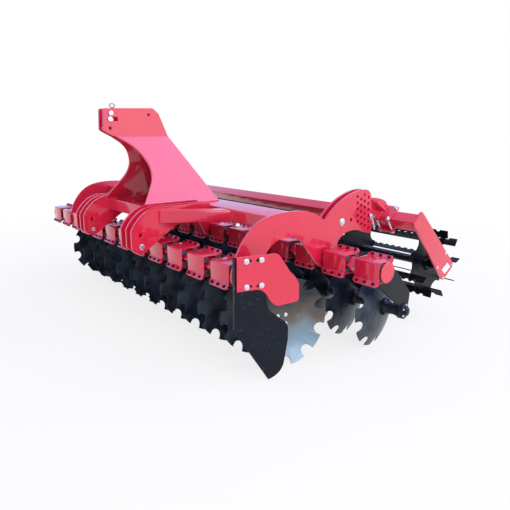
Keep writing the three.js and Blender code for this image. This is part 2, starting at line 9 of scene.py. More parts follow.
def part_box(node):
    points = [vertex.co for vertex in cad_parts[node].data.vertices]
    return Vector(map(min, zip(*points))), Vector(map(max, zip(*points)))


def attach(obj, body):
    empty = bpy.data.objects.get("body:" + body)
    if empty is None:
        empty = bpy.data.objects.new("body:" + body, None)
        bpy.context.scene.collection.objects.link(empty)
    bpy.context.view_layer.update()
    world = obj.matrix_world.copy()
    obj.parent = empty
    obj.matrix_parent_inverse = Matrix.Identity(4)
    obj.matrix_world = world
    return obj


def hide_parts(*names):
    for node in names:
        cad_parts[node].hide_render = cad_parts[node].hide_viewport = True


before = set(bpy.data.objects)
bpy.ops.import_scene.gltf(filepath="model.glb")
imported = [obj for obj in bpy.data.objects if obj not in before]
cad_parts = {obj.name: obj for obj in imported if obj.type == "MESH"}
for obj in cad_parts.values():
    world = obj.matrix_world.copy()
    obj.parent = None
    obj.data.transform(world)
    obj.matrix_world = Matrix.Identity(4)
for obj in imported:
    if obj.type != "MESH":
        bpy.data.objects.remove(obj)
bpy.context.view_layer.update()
print("frame loaded")

# Sizes shared by the whole machine, in millimetres
layout = {"discsPerRow": 12, "discPitch": 250, "rowSpacing": 690, "firstFrontX": 1125, "firstRearX": 1625}
tubeSize = {"side": 70, "corner": 7, "capRadius": 62, "capThickness": 8}
weldSize = {"bead": 5.0, "step": 6.5, "smallest": 0.8, "largest": 1.1, "seed": 7}
boltForm = {"straight": 0.75, "chamfer": 0.88, "domeCut": -0.45, "washerSides": 20}
brokenEdge = 1.2
sharpAngle = 32

# The machine's own zero in Y and Z is the axis of the front gang tube, found from the rear one's CAD box.
tubeLow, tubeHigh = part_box("rear_gang_tube")
axisY = (tubeLow.y + tubeHigh.y) / 2 - layout["rowSpacing"] / 1000
axisZ = (tubeLow.z + tubeHigh.z) / 2
toPart = Matrix.Translation((0, axisY, axisZ)) @ Matrix.Scale(0.001, 4)
standUp = Matrix(((0, 0, 1, 0), (1, 0, 0, 0), (0, 1, 0, 0), (0, 0, 0, 1)))  # drawn (Y, Z), thickness along X
swapYZ = Matrix(((1, 0, 0, 0), (0, 0, 1, 0), (0, 1, 0, 0), (0, 0, 0, 1)))  # drawn (X, Z), thickness along Y


# Small tools
def addNode(tree, kind, inputs=None, **settings):
    node = tree.nodes.new(kind)
    for name, value in settings.items():
        setattr(node, name, value)
    for key, value in (inputs or {}).items():
        if isinstance(value, bpy.types.NodeSocket):
            tree.links.new(value, node.inputs[key])
        else:
            node.inputs[key].default_value = value
    return node


def linear(hexColour, alpha=1.0):
    parts = [int(hexColour[i:i + 2], 16) / 255 for i in (1, 3, 5)]
    return [c / 12.92 if c <= 0.04045 else ((c + 0.055) / 1.055) ** 2.4 for c in parts] + [alpha]


def shifted(x=0, y=0, z=0, turnX=0, turnY=0, turnZ=0):
    turn = Matrix.Rotation(math.radians(turnZ), 4, "Z") @ Matrix.Rotation(math.radians(turnY), 4, "Y")
    return Matrix.Translation((x, y, z)) @ turn @ Matrix.Rotation(math.radians(turnX), 4, "X")


def onSide(side):
    return Matrix.Identity(4) if side > 0 else Matrix.Scale(-1, 4, (1, 0, 0))


# A step is a corner (y, z), or ((control y, control z), (y, z)) for a curve that ends at (y, z).
def drawOutline(steps, segments=12):
    points = []
    for step in steps:
        if isinstance(step[0], tuple):
            (startY, startZ), (midY, midZ), (endY, endZ) = points[-1], step[0], step[1]
            for i in range(1, segments + 1):
                t = i / segments
                a, b, c = (1 - t) ** 2, 2 * t * (1 - t), t * t
                points.append((a * startY + b * midY + c * endY, a * startZ + b * midZ + c * endZ))
        else:
            points.append(step)
    if math.dist(points[0], points[-1]) < 0.5:
        points.pop()
    return points


def roundCorners(points, radius, segments=5, sharpest=20):
    rounded = []
    for i, here in enumerate(points):
        before, after = Vector(points[i - 1]), Vector(points[(i + 1) % len(points)])
        corner = Vector(here)
        into, out = before - corner, after - corner
        turn = math.degrees(math.pi - into.angle(out))
        if turn < sharpest:
            rounded.append(tuple(here))
            continue
        reach = min(radius * math.tan(math.radians(turn) / 2), 0.45 * into.length, 0.45 * out.length)
        start, end = corner + into.normalized() * reach, corner + out.normalized() * reach
        for k in range(segments + 1):
            t = k / segments
            rounded.append(tuple(start * (1 - t) ** 2 + corner * 2 * t * (1 - t) + end * t * t))
    return rounded


def circle(y, z, radius, count=24):
    return [(y + radius * math.cos(math.tau * i / count), z + radius * math.sin(math.tau * i / count))
            for i in range(count)]


def slotLoop(y, z, length, width, angle=0, count=8):
    turn, half, radius = math.radians(angle), (length - width) / 2, width / 2
    loop = []
    for end in (1, -1):
        for i in range(count + 1):
            a = (i / count - 0.5) * math.pi + (0 if end > 0 else math.pi)
            u, v = end * half + radius * math.cos(a), radius * math.sin(a)
            loop.append((y + u * math.cos(turn) - v * math.sin(turn),
                         z + u * math.sin(turn) + v * math.cos(turn)))
    return loop


def rectangle(width, height, radius):
    w, h = width / 2, height / 2
    return roundCorners([(-w, -h), (w, -h), (w, h), (-w, h)], radius)


# A sheet or bar of any outline, with its edges broken, thickness along its own Z
def sheetMesh(loops, thickness, edge=brokenEdge):
    drawn = bpy.data.curves.new("sheet", "CURVE")
    drawn.dimensions = "2D"
    drawn.fill_mode = "BOTH"
    drawn.extrude = thickness / 2 - edge
    drawn.bevel_depth = edge
    drawn.bevel_resolution = 1
    drawn.offset = -edge
    for loop in loops:
        spline = drawn.splines.new("POLY")
        spline.points.add(len(loop) - 1)
        for point, (a, b) in zip(spline.points, loop):
            point.co = (a, b, 0, 1)
        spline.use_cyclic_u = True
    holder = bpy.data.objects.new("sheet", drawn)
    bpy.context.scene.collection.objects.link(holder)
    mesh = bpy.data.meshes.new_from_object(holder)
    bpy.data.objects.remove(holder)
    bpy.data.curves.remove(drawn)
    work = bmesh.new()
    work.from_mesh(mesh)
    bmesh.ops.remove_doubles(work, verts=work.verts, dist=0.01)
    bmesh.ops.recalc_face_normals(work, faces=work.faces)
    for line in work.edges:
        flats = [abs(face.normal.z) > 0.999 for face in line.link_faces]
        line.smooth = all(flats) or not any(flats)
    work.to_mesh(mesh)
    work.free()
    return mesh


def closedMesh(work, name):
    bmesh.ops.recalc_face_normals(work, faces=work.faces)
    mesh = bpy.data.meshes.new(name)
    work.to_mesh(mesh)
    work.free()
    return mesh


# A turned piece about X: profile is (x, radius) from one end to the other
def latheMesh(profile, segments=32):
    work = bmesh.new()
    rings = []
    for x, radius in profile:
        if radius < 0.01:
            rings.append([work.verts.new((x, 0, 0))])
            continue
        rings.append([
            work.verts.new((x, radius * math.sin(math.tau * i / segments),
                            radius * math.cos(math.tau * i / segments)))
            for i in range(segments)
        ])
    for first, second in zip(rings, rings[1:]):
        for i in range(segments):
            a, b = first[i % len(first)], first[(i + 1) % len(first)]
            c, d = second[(i + 1) % len(second)], second[i % len(second)]
            corners = list(dict.fromkeys((a, b, c, d)))
            if len(corners) > 2:
                work.faces.new(corners)
    for ring in (rings[0], rings[-1]):
        if len(ring) > 2:
            work.faces.new(ring)
    return closedMesh(work, "turned")


def plainBar(start, end, radius, chamfer):
    return [(start, 0), (start, radius - chamfer), (start + chamfer, radius), (end - chamfer, radius),
            (end, radius - chamfer), (end, 0)]


# A round bar along a line of places
def rodMesh(places, radius, sides=12, closed=False):
    work = bmesh.new()
    rings = []
    spots = [Vector(p) for p in places]
    for i, here in enumerate(spots):
        before = spots[i - 1] if i or closed else here
        after = spots[(i + 1) % len(spots)] if i + 1 < len(spots) or closed else here
        turn = (after - before).normalized().to_track_quat("Z", "Y").to_matrix()
        rings.append([work.verts.new(here + turn @ Vector((radius * math.cos(math.tau * k / sides),
                                                           radius * math.sin(math.tau * k / sides), 0)))
                      for k in range(sides)])
    pairs = list(zip(rings, rings[1:])) + ([(rings[-1], rings[0])] if closed else [])
    for first, second in pairs:
        for k in range(sides):
            j = (k + 1) % sides
            work.faces.new((first[k], first[j], second[j], second[k]))
    if not closed:
        work.faces.new(rings[0])
        work.faces.new(rings[-1])
    return closedMesh(work, "rod")


def barMesh(sizeX, sizeY, sizeZ, radius, edge=0.8):
    mesh = sheetMesh([rectangle(sizeY, sizeZ, radius)], sizeX, edge)
    mesh.transform(standUp)
    return mesh


# Gathers meshes with their materials into one finished piece
class Build:
    def __init__(self):
        self.work = bmesh.new()
        self.materials = []

    def add(self, mesh, material, matrix=Matrix.Identity(4)):
        if material not in self.materials:
            self.materials.append(material)
        copy = mesh.copy()
        copy.transform(matrix)
        if matrix.determinant() < 0:
            copy.flip_normals()
        start = len(self.work.faces)
        self.work.from_mesh(copy)
        self.work.faces.ensure_lookup_table()
        for face in self.work.faces[start:]:
            face.material_index = self.materials.index(material)
        bpy.data.meshes.remove(copy)

    def sheet(self, loops, thickness, material, matrix=Matrix.Identity(4), edge=brokenEdge):
        self.add(sheetMesh(loops, thickness, edge), material, matrix @ standUp)

    def toMesh(self, name, matrix=Matrix.Identity(4)):
        mesh = bpy.data.meshes.new(name)
        self.work.to_mesh(mesh)
        for material in self.materials:
            mesh.materials.append(material)
        mesh.transform(matrix)
        if matrix.determinant() < 0:
            mesh.flip_normals()
        return mesh


def sharpEdges(mesh):
    marks = [False] * len(mesh.edges)
    marked = mesh.attributes.get("sharp_edge")
    if marked:
        marked.data.foreach_get("value", marks)
    return marks


def finishPiece(build, name, place, body, node):
    mesh = build.toMesh(name, place)
    for face in mesh.polygons:
        face.use_smooth = True
    flatRims = sharpEdges(mesh)
    mesh.set_sharp_from_angle(angle=math.radians(sharpAngle))
    either = [a or b for a, b in zip(flatRims, sharpEdges(mesh))]
    marked = mesh.attributes.get("sharp_edge") or mesh.attributes.new("sharp_edge", "BOOLEAN", "EDGE")
    marked.data.foreach_set("value", either)
    piece = bpy.data.objects.new(name, mesh)
    bpy.context.scene.collection.objects.link(piece)
    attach(piece, body)
    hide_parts(node)


# Geometry Nodes: fasteners on points, weld beads along lines, and copies in a ring
def newTree(name, floats, wholes):
    tree = bpy.data.node_groups.new(name, "GeometryNodeTree")
    face = tree.interface
    face.new_socket("Geometry", in_out="INPUT", socket_type="NodeSocketGeometry")
    for kind, labels in (("Float", floats), ("Int", wholes), ("Material", ("Material",))):
        for label in labels:
            face.new_socket(label, in_out="INPUT", socket_type="NodeSocket" + kind)
    face.new_socket("Geometry", in_out="OUTPUT", socket_type="NodeSocketGeometry")
    return tree, tree.nodes.new("NodeGroupInput").outputs


def endTree(tree, placed, material):
    real = addNode(tree, "GeometryNodeRealizeInstances", {0: placed.outputs[0]})
    coated = addNode(tree, "GeometryNodeSetMaterial", {"Geometry": real.outputs[0], "Material": material})
    addNode(tree, "NodeGroupOutput", {0: coated.outputs[0]})
    return tree


# A washer, a head and the rounding or chamfer on top of it, stacked on each point along its axis attribute
def fastenerTree():
    tree, given = newTree("fasteners", ("Head radius", "Head height", "Washer radius", "Washer height", "Dome"),
                          ("Sides",))
    axis = addNode(tree, "GeometryNodeInputNamedAttribute", {"Name": "axis"}, data_type="FLOAT_VECTOR")
    aligned = addNode(tree, "FunctionNodeAlignRotationToVector", {"Vector": axis.outputs["Attribute"]},
                      axis="Z")
    washer = addNode(tree, "GeometryNodeMeshCylinder", {
        "Vertices": boltForm["washerSides"], "Radius": given["Washer radius"], "Depth": given["Washer height"]})
    washerMiddle = addNode(tree, "ShaderNodeMath", {0: given["Washer height"], 1: 0.5}, operation="MULTIPLY")
    inset = addNode(tree, "ShaderNodeMath", {
        0: given["Dome"], 1: boltForm["domeCut"], 2: boltForm["chamfer"]}, operation="MULTIPLY_ADD")
    topRadius = addNode(tree, "ShaderNodeMath", {0: given["Head radius"], 1: inset.outputs[0]},
                        operation="MULTIPLY")
    lowDepth = addNode(tree, "ShaderNodeMath", {0: given["Head height"], 1: boltForm["straight"]},
                       operation="MULTIPLY")
    headMiddle = addNode(tree, "ShaderNodeMath", {0: lowDepth.outputs[0], 1: 0.5, 2: given["Washer height"]},
                         operation="MULTIPLY_ADD")
    head = addNode(tree, "GeometryNodeMeshCylinder", {
        "Vertices": given["Sides"], "Radius": given["Head radius"], "Depth": lowDepth.outputs[0]})
    capDepth = addNode(tree, "ShaderNodeMath", {0: given["Head height"], 1: 1 - boltForm["straight"]},
                       operation="MULTIPLY")
    cap = addNode(tree, "GeometryNodeMeshCone", {
        "Vertices": given["Sides"], "Radius Bottom": given["Head radius"], "Radius Top": topRadius.outputs[0],
        "Depth": capDepth.outputs[0]})
    capFoot = addNode(tree, "ShaderNodeMath", {0: given["Washer height"], 1: lowDepth.outputs[0]},
                      operation="ADD")
    stack = []
    for solid, height in ((washer, washerMiddle), (head, headMiddle), (cap, capFoot)):
        lift = addNode(tree, "ShaderNodeCombineXYZ", {"Z": height.outputs[0]})
        stack.append(addNode(tree, "GeometryNodeTransform", {
            "Geometry": solid.outputs["Mesh"], "Translation": lift.outputs[0]}))
    bolt = addNode(tree, "GeometryNodeJoinGeometry")
    for part in stack:
        tree.links.new(part.outputs["Geometry"], bolt.inputs[0])
    placed = addNode(tree, "GeometryNodeInstanceOnPoints", {
        "Points": given["Geometry"], "Instance": bolt.outputs[0], "Rotation": aligned.outputs[0]})
    return endTree(tree, placed, given["Material"])


def beadTree():
    tree, given = newTree("weldBeads", ("Bead radius", "Bead step"), ("Seed",))
    line = addNode(tree, "GeometryNodeMeshToCurve", {"Mesh": given["Geometry"]})
    spaced = addNode(tree, "GeometryNodeCurveToPoints",
                     {"Curve": line.outputs[0], "Length": given["Bead step"]},
                     mode="LENGTH")
    bead = addNode(tree, "GeometryNodeMeshIcoSphere", {"Radius": given["Bead radius"], "Subdivisions": 1})
    size = addNode(tree, "FunctionNodeRandomValue", {
        2: weldSize["smallest"], 3: weldSize["largest"], "Seed": given["Seed"]}, data_type="FLOAT")
    placed = addNode(tree, "GeometryNodeInstanceOnPoints", {
        "Points": spaced.outputs["Points"], "Instance": bead.outputs["Mesh"],
        "Rotation": spaced.outputs["Rotation"],
        "Scale": size.outputs[1]})
    return endTree(tree, placed, given["Material"])


def ringTree():
    tree, given = newTree("ringOfCopies", (), ("Count",))
    points = addNode(tree, "GeometryNodePoints", {"Count": given["Count"]})
    index = addNode(tree, "GeometryNodeInputIndex")
    step = addNode(tree, "ShaderNodeMath", {0: math.tau, 1: given["Count"]}, operation="DIVIDE")
    angle = addNode(tree, "ShaderNodeMath", {0: index.outputs[0], 1: step.outputs[0]}, operation="MULTIPLY")
    turn = addNode(tree, "ShaderNodeCombineXYZ", {"X": angle.outputs[0]})
    rotation = addNode(tree, "FunctionNodeEulerToRotation", {0: turn.outputs[0]})
    placed = addNode(tree, "GeometryNodeInstanceOnPoints", {
        "Points": points.outputs[0], "Instance": given["Geometry"], "Rotation": rotation.outputs[0]})
    return endTree(tree, placed, given["Material"])


def runTree(tree, mesh, values):
    holder = bpy.data.objects.new("holder", mesh)
    bpy.context.scene.collection.objects.link(holder)
    modifier = holder.modifiers.new("nodes", "NODES")
    modifier.node_group = tree
    for item in tree.interface.items_tree:
        if item.in_out == "INPUT" and item.name in values:
            modifier[item.identifier] = values[item.name]
    seen = holder.evaluated_get(bpy.context.evaluated_depsgraph_get())
    result = bpy.data.meshes.new_from_object(seen)
    holder.modifiers.remove(modifier)
    bpy.data.objects.remove(holder)
    return result


fasteners, weldBeads, ringOfCopies = fastenerTree(), beadTree(), ringTree()


# Head radius and height, washer radius and height, sides, rounding of the top
boltSizes = {
    "discHead": (12.0, 6.0, 12.5, 1.0, 16, 0.8), "discNut": (8.0, 8.0, 8.3, 1.5, 6, 0.0),
    "clamp": (8.2, 7.0, 10.5, 1.8, 6, 0.0), "bearing": (6.5, 5.0, 7.0, 1.2, 6, 0.0),
    "deflectorHead": (12.0, 9.0, 16.0, 3.0, 6, 0.0), "deflectorNut": (12.0, 10.0, 15.0, 3.0, 6, 0.0),
    "pivot": (19.0, 8.0, 25.0, 3.0, 6, 0.0), "saddle": (14.0, 12.0, 17.0, 3.0, 6, 0.0),
    "endArm": (9.0, 3.0, 11.0, 1.2, 6, 0.6), "axleHub": (7.0, 6.0, 8.5, 1.5, 6, 0.0)}


# spots is a list of (place, outward direction)
def fastenerMesh(spots, material, size):
    points = bpy.data.meshes.new("spots")
    points.from_pydata([place for place, direction in spots], [], [])
    axis = points.attributes.new("axis", "FLOAT_VECTOR", "POINT")
    for item, (place, direction) in zip(axis.data, spots):
        item.vector = Vector(direction).normalized()
    labels = ("Head radius", "Head height", "Washer radius", "Washer height", "Sides", "Dome")
    return runTree(fasteners, points, {**dict(zip(labels, boltSizes[size])), "Material": material})


def weldMesh(lines, material, bead=None):
    places, edges = [], []
    for line in lines:
        start = len(places)
        places += line
        edges += [(start + i, start + i + 1) for i in range(len(line) - 1)]
    mesh = bpy.data.meshes.new("weldLines")
    mesh.from_pydata(places, edges, [])
    return runTree(weldBeads, mesh, {
        "Bead radius": bead or weldSize["bead"], "Bead step": weldSize["step"], "Seed": weldSize["seed"],
        "Material": material})


# Materials: a noise Scale is written as 1000 over the size of its patches in millimetres
def newMaterial(name):
    material = bpy.data.materials.new(name)
    material.use_nodes = True
    material.node_tree.nodes.clear()
    return material, material.node_tree, addNode(material.node_tree, "ShaderNodeTexCoord").outputs["Object"]


def cloudedColour(tree, place, patch, detail, dark, light, span=None):
    cloud = addNode(tree, "ShaderNodeTexNoise", {"Vector": place, "Scale": 1000 / patch, "Detail": detail})
    factor = cloud
    if span:
        factor = addNode(tree, "ShaderNodeMapRange", {
            "Value": cloud.outputs[0], "From Min": span[0], "From Max": span[1]})
    colour = addNode(tree, "ShaderNodeMix", {0: factor.outputs[0], 6: linear(dark), 7: linear(light)},
                     data_type="RGBA")
    return cloud.outputs[0], colour.outputs[2]


def finishMaterial(tree, colour, roughness, height, strength, depth, **others):
    bump = addNode(tree, "ShaderNodeBump", {"Strength": strength, "Distance": depth, "Height": height})
    shader = addNode(tree, "ShaderNodeBsdfPrincipled", {
        "Base Color": colour, "Roughness": roughness.outputs[0], "Normal": bump.outputs[0],
        **{name.replace("_", " "): value for name, value in others.items()}})
    addNode(tree, "ShaderNodeOutputMaterial", {"Surface": shader.outputs[0]})


# Steel plate, shot-blasted and powder coated: a smooth glossy skin, faint orange peel, tone that drifts slowly
def powderCoat(name, dark, light, coat, roughness):
    material, tree, place = newMaterial(name)
    drift = addNode(tree, "ShaderNodeTexNoise", {"Vector": place, "Scale": 1000 / 220, "Detail": 2.0})
    fine = addNode(tree, "ShaderNodeTexNoise", {"Vector": place, "Scale": 1000 / 18, "Detail": 3.0})
    both = addNode(tree, "ShaderNodeMath", {0: drift.outputs[0], 1: 0.75, 2: fine.outputs[0]},
                   operation="MULTIPLY_ADD")
    span = addNode(tree, "ShaderNodeMapRange", {"Value": both.outputs[0], "From Min": 0.35, "From Max": 1.4})
    colour = addNode(tree, "ShaderNodeMix", {0: span.outputs[0], 6: linear(dark), 7: linear(light)},
                     data_type="RGBA")
    rough = addNode(tree, "ShaderNodeMapRange", {
        "Value": fine.outputs[0], "From Min": 0.3, "From Max": 0.7, "To Min": roughness - 0.04,
        "To Max": roughness + 0.06})
    # The real orange peel is about 2 mm across, drawn coarser here so that it can be seen
    peel = addNode(tree, "ShaderNodeTexNoise", {"Vector": place, "Scale": 1000 / 9, "Detail": 1.0})
    finishMaterial(tree, colour.outputs[2], rough, peel.outputs[0], 0.05, 0.0006, Coat_Weight=coat,
                   Coat_Roughness=0.06, Coat_IOR=1.53, Specular_IOR_Level=0.3)
    return material


# Black enamel sprayed on plate, with the pale hairlines of handling where it has been dragged
def blackEnamel(name, dark, light, scratch, amount, roughness, gloss):
    material, tree, place = newMaterial(name)
    cloud, colour = cloudedColour(tree, place, 70, 4.0, dark, light)
    lines = []
    for turn, stretch in ((0.5, (1, 26, 2.2)), (-0.9, (1, 2.4, 24))):
        slanted = addNode(tree, "ShaderNodeMapping",
                          {"Vector": place, "Rotation": (turn, 0, 0), "Scale": stretch})
        streak = addNode(tree, "ShaderNodeTexNoise", {
            "Vector": slanted.outputs[0], "Scale": 1000 / 160, "Detail": 2.0})
        sharp = addNode(tree, "ShaderNodeMapRange", {
            "Value": streak.outputs[0], "From Min": 0.68, "From Max": 0.73, "To Max": amount})
        lines.append(sharp.outputs[0])
    marks = addNode(tree, "ShaderNodeMath", {0: lines[0], 1: lines[1]}, operation="MAXIMUM")
    worn = addNode(tree, "ShaderNodeMix", {0: marks.outputs[0], 6: colour, 7: linear(scratch)},
                   data_type="RGBA")
    rough = addNode(tree, "ShaderNodeMath", {0: cloud, 1: 0.16, 2: roughness - 0.08},
                    operation="MULTIPLY_ADD")
    finishMaterial(tree, worn.outputs[2], rough, cloud, 0.08, 0.0006, Specular_IOR_Level=gloss)
    return material


# Pressed boron steel under a thin black enamel: part metal gloss, part paint, clouded by the heat treatment
def discSteelFinish(name, dark, light, metallic, roughness):
    material, tree, place = newMaterial(name)
    cloud, colour = cloudedColour(tree, place, 90, 5.0, dark, light, (0.35, 0.65))
    rough = addNode(tree, "ShaderNodeMapRange", {
        "Value": cloud, "From Min": 0.3, "From Max": 0.7, "To Min": roughness - 0.06,
        "To Max": roughness + 0.08})
    grain = addNode(tree, "ShaderNodeTexNoise", {"Vector": place, "Scale": 1000 / 6, "Detail": 2.0})
    finishMaterial(tree, colour, rough, grain.outputs[0], 0.06, 0.0005, Metallic=metallic)
    return material


# The same boron steel where soil has rubbed the enamel away, made metallic low down, with a painted reflection
# laid over it by height: pale blue-grey low down for the mirrored ground, a brown band, then dark enamel above
def wornDiscPaintedReflection(name, reflectionByHeight):
    material, tree, place = newMaterial(name)
    cloud = addNode(tree, "ShaderNodeTexNoise", {"Vector": place, "Scale": 1000 / 110, "Detail": 5.0})
    # Height on the disc sets the bands of the painted reflection, and the noise makes their edges waver
    apart = addNode(tree, "ShaderNodeSeparateXYZ", {0: place})
    wander = addNode(tree, "ShaderNodeMath", {0: cloud.outputs[0], 1: 0.22, 2: apart.outputs["Z"]},
                     operation="MULTIPLY_ADD")
    level = addNode(tree, "ShaderNodeMath", {0: wander.outputs[0], 1: 0.11}, operation="SUBTRACT")
    ramp = addNode(tree, "ShaderNodeValToRGB", {0: level.outputs[0]})
    for stop, (height, tone) in zip([*ramp.color_ramp.elements, None, None], reflectionByHeight.items()):
        stop = stop or ramp.color_ramp.elements.new(height)
        stop.position = height
        stop.color = linear(tone)
    bare = addNode(tree, "ShaderNodeMapRange", {
        "Value": level.outputs[0], "From Min": 0.26, "From Max": 0.42, "To Min": 0.9, "To Max": 0.4})
    rough = addNode(tree, "ShaderNodeMath", {0: cloud.outputs[0], 1: 0.16, 2: 0.24}, operation="MULTIPLY_ADD")
    grain = addNode(tree, "ShaderNodeTexNoise", {"Vector": place, "Scale": 1000 / 6, "Detail": 2.0})
    finishMaterial(tree, ramp.outputs[0], rough, grain.outputs[0], 0.06, 0.0005, Metallic=bare.outputs[0])
    return material


# Turned or forged steel, plated: zinc is bright and slightly clouded, phosphate is dark and dull
def platedSteel(name, dark, light, roughness):
    material, tree, place = newMaterial(name)
    cloud, colour = cloudedColour(tree, place, 12, 3.0, dark, light)
    rough = addNode(tree, "ShaderNodeMath", {0: cloud, 1: 0.15, 2: roughness - 0.07},
                    operation="MULTIPLY_ADD")
    finishMaterial(tree, colour, rough, cloud, 0.08, 0.0004, Metallic=0.9)
    return material


# Moulded rubber cord: dull, with a bloom of paler dust
def mouldedRubber(name, dark, light):
    material, tree, place = newMaterial(name)
    bloom, colour = cloudedColour(tree, place, 25, 4.0, dark, light)
    rough = addNode(tree, "ShaderNodeMath", {0: bloom, 1: 0.2, 2: 0.5}, operation="MULTIPLY_ADD")
    grain = addNode(tree, "ShaderNodeTexNoise", {"Vector": place, "Scale": 1000 / 4, "Detail": 2.0})
    finishMaterial(tree, colour, rough, grain.outputs[0], 0.15, 0.0005)
    return material


redCoat = powderCoat("redPowderCoat", "#D01235", "#E71F49", 1.0, 0.38)
rollerBlack = blackEnamel("rollerBlackEnamel", "#05080D", "#0B1018", "#5C6774", 0.2, 0.36, 0.2)
plateBlack = blackEnamel("plateBlackEnamel", "#060D16", "#0E1824", "#66727F", 0.3, 0.42, 0.2)
armBlack = blackEnamel("armBlackEnamel", "#070B11", "#0E141D", "#59626D", 0.12, 0.4, 0.28)
discBlack = discSteelFinish("discBlackSteel", "#1D242D", "#404C5A", 0.5, 0.32)
# The worn disc's tones are a painted reflection by height, pale low down where it mirrors the ground
discPaintedReflection = wornDiscPaintedReflection("wornDiscPaintedReflection",
                         {0.12: "#87999F", 0.20: "#7F8F97", 0.29: "#6A645C", 0.44: "#2B3037"})
zinc = platedSteel("zincPlatedSteel", "#C9CED6", "#EDF1F6", 0.28)
springSteel = platedSteel("springSteel", "#6C727C", "#8E949E", 0.4)
darkBolt = platedSteel("phosphatedSteel", "#1E2234", "#343A52", 0.42)
rubber = mouldedRubber("mouldedRubber", "#2E3442", "#4A5264")
blankLabel = mouldedRubber("blankVinylLabel", "#ECEEF2", "#F7F8FA")
print("materials made")

# Discs
disc = {"radius": 280, "half": 3.0, "dish": 600, "notches": 10, "notchCentre": 265, "notchRadius": 37,
        "flat": 62, "edge": 2.2, "flange": 60, "tilt": 12, "armOffset": 187.5, "reach": 297, "drop": 337,
        "carriageCircle": 40}


def sag(radius):
    return disc["dish"] - math.sqrt(disc["dish"] ** 2 - radius ** 2)


def notchedRim():
    pitch = math.tau / disc["notches"]
    centre, radius = disc["notchCentre"], disc["notchRadius"]
    widest = math.asin(radius / centre)
    rim = []
    for k in range(disc["notches"]):
        for i in range(-6, 7):
            a = widest * math.sin(i / 6 * math.pi / 2)
            r = centre * math.cos(a) - math.sqrt(max(0.0, radius ** 2 - (centre * math.sin(a)) ** 2))
            rim.append((r, k * pitch + a, k * pitch + a * 0.97))
        for i in range(7):
            a = widest + (pitch - 2 * widest) * i / 6
            rim.append((disc["radius"], k * pitch + a, k * pitch + a + (3 - i) / 3 * 0.006))
    return rim


def discMesh(face):
    rim = notchedRim()
    count = len(rim)
    flatRim = [Vector((r * math.sin(a), -r * math.cos(a))) for r, a, inner in rim]
    inset = []
    for i, here in enumerate(flatRim):
        along = (flatRim[(i + 1) % count] - flatRim[i - 1]).normalized()
        inset.append(here + Vector((-along.y, along.x)) * disc["edge"])
    half, rimSag = disc["half"], sag(disc["radius"])
    rings = []
    for side in (1, -1):
        ringsHere = [[(p.x, p.y, 0.6) for p in flatRim], [(p.x, p.y, half) for p in inset]]
        for r in (206, 180, 152, 126, 100, 80, disc["flat"]):
            ringsHere.append([(r * math.sin(a), -r * math.cos(a), half) for rimR, full, a in rim])
        rings += [(side, ring) for ring in (ringsHere[::-1] if side > 0 else ringsHere)]
    work = bmesh.new()
    made = []
    for side, ring in rings:
        made.append([work.verts.new((sag(max(disc["flat"], math.hypot(y, z))) - rimSag + side * thick, y, z))
                     for y, z, thick in ring])
    for first, second in zip(made, made[1:]):
        for i in range(count):
            j = (i + 1) % count
            work.faces.new((first[i], first[j], second[j], second[i]))
    for ring, side in ((made[0], 1), (made[-1], -1)):
        centre = work.verts.new((sag(disc["flat"]) - rimSag + side * half, 0, 0))
        for i in range(count):
            work.faces.new((ring[i], ring[(i + 1) % count], centre))
    build = Build()
    build.add(closedMesh(work, "blade"), face)
    back = sag(disc["flat"]) - rimSag - half
    hubEnd = -disc["armOffset"] / math.cos(math.radians(disc["tilt"])) + 23.3
    build.add(latheMesh([(back, 0), (back, disc["flange"] - 2), (back - 2, disc["flange"]),
                         (back - 10, disc["flange"]), (back - 12, disc["flange"] - 2), (back - 12, 48),
                         (back - 20, 43), (back - 44, 41), (back - 46, 38), (hubEnd + 22, 38),
                         (hubEnd + 20, 40), (hubEnd + 2, 40), (hubEnd, 38), (hubEnd, 0)], 36), armBlack)
    build.add(latheMesh([(hubEnd + 18, 39), (hubEnd + 17, 41.5), (hubEnd + 11, 41.5), (hubEnd + 10, 39)], 30),
              armBlack)
    ring = [math.tau * (i + 0.5) / 4 for i in range(4)]
    front = sag(disc["flat"]) - rimSag + half
    heads = [((front - 0.5, disc["carriageCircle"] * math.cos(a), disc["carriageCircle"] * math.sin(a)),
              (1, 0, 0)) for a in ring]
    build.add(fastenerMesh(heads, zinc, "discHead"), zinc)
    backs = [((back - 11.5, 51.5 * math.cos(a), 51.5 * math.sin(a)), (-1, 0, 0)) for a in ring]
    build.add(fastenerMesh(backs, darkBolt, "discNut"), darkBolt)
    return build


def discPlace(row, k):
    if row == "front":
        x = layout["firstFrontX"] - k * layout["discPitch"] + disc["armOffset"]
        return shifted(x, disc["reach"], -disc["drop"], turnZ=-disc["tilt"])
    x = layout["firstRearX"] - k * layout["discPitch"] - disc["armOffset"]
    return shifted(x, disc["reach"] + layout["rowSpacing"], -disc["drop"], turnZ=180 + disc["tilt"])


# The second disc shape carries the painted reflection of the ground on its lower half
plainDisc, reflectionPaintedDisc = discMesh(discBlack), discMesh(discPaintedReflection)
for row in ("front", "rear"):
    for k in range(layout["discsPerRow"]):
        # Only the first front disc gets the painted reflection
        shape = reflectionPaintedDisc if row == "front" and k == 0 else plainDisc
        body = f"{row}_disc_{k + 1}"
        finishPiece(shape, f"{row}Disc{k + 1}", toPart @ discPlace(row, k), body, body)
print("discs done")

# Arms: sprung clamp on the gang tube, curved arm plate, bearing boss
arm = {"clampWidth": 178, "inner": 55.5, "shell": 6, "flange": 34, "split": 0.7, "bend": 12, "tipCut": 13,
       "rubberPlace": 37.5, "rubberRadius": 17.6, "rubberPast": 3, "plate": 20, "boss": 52, "bossWidth": 46,
       "boltsX": (-60, 0, 60)}


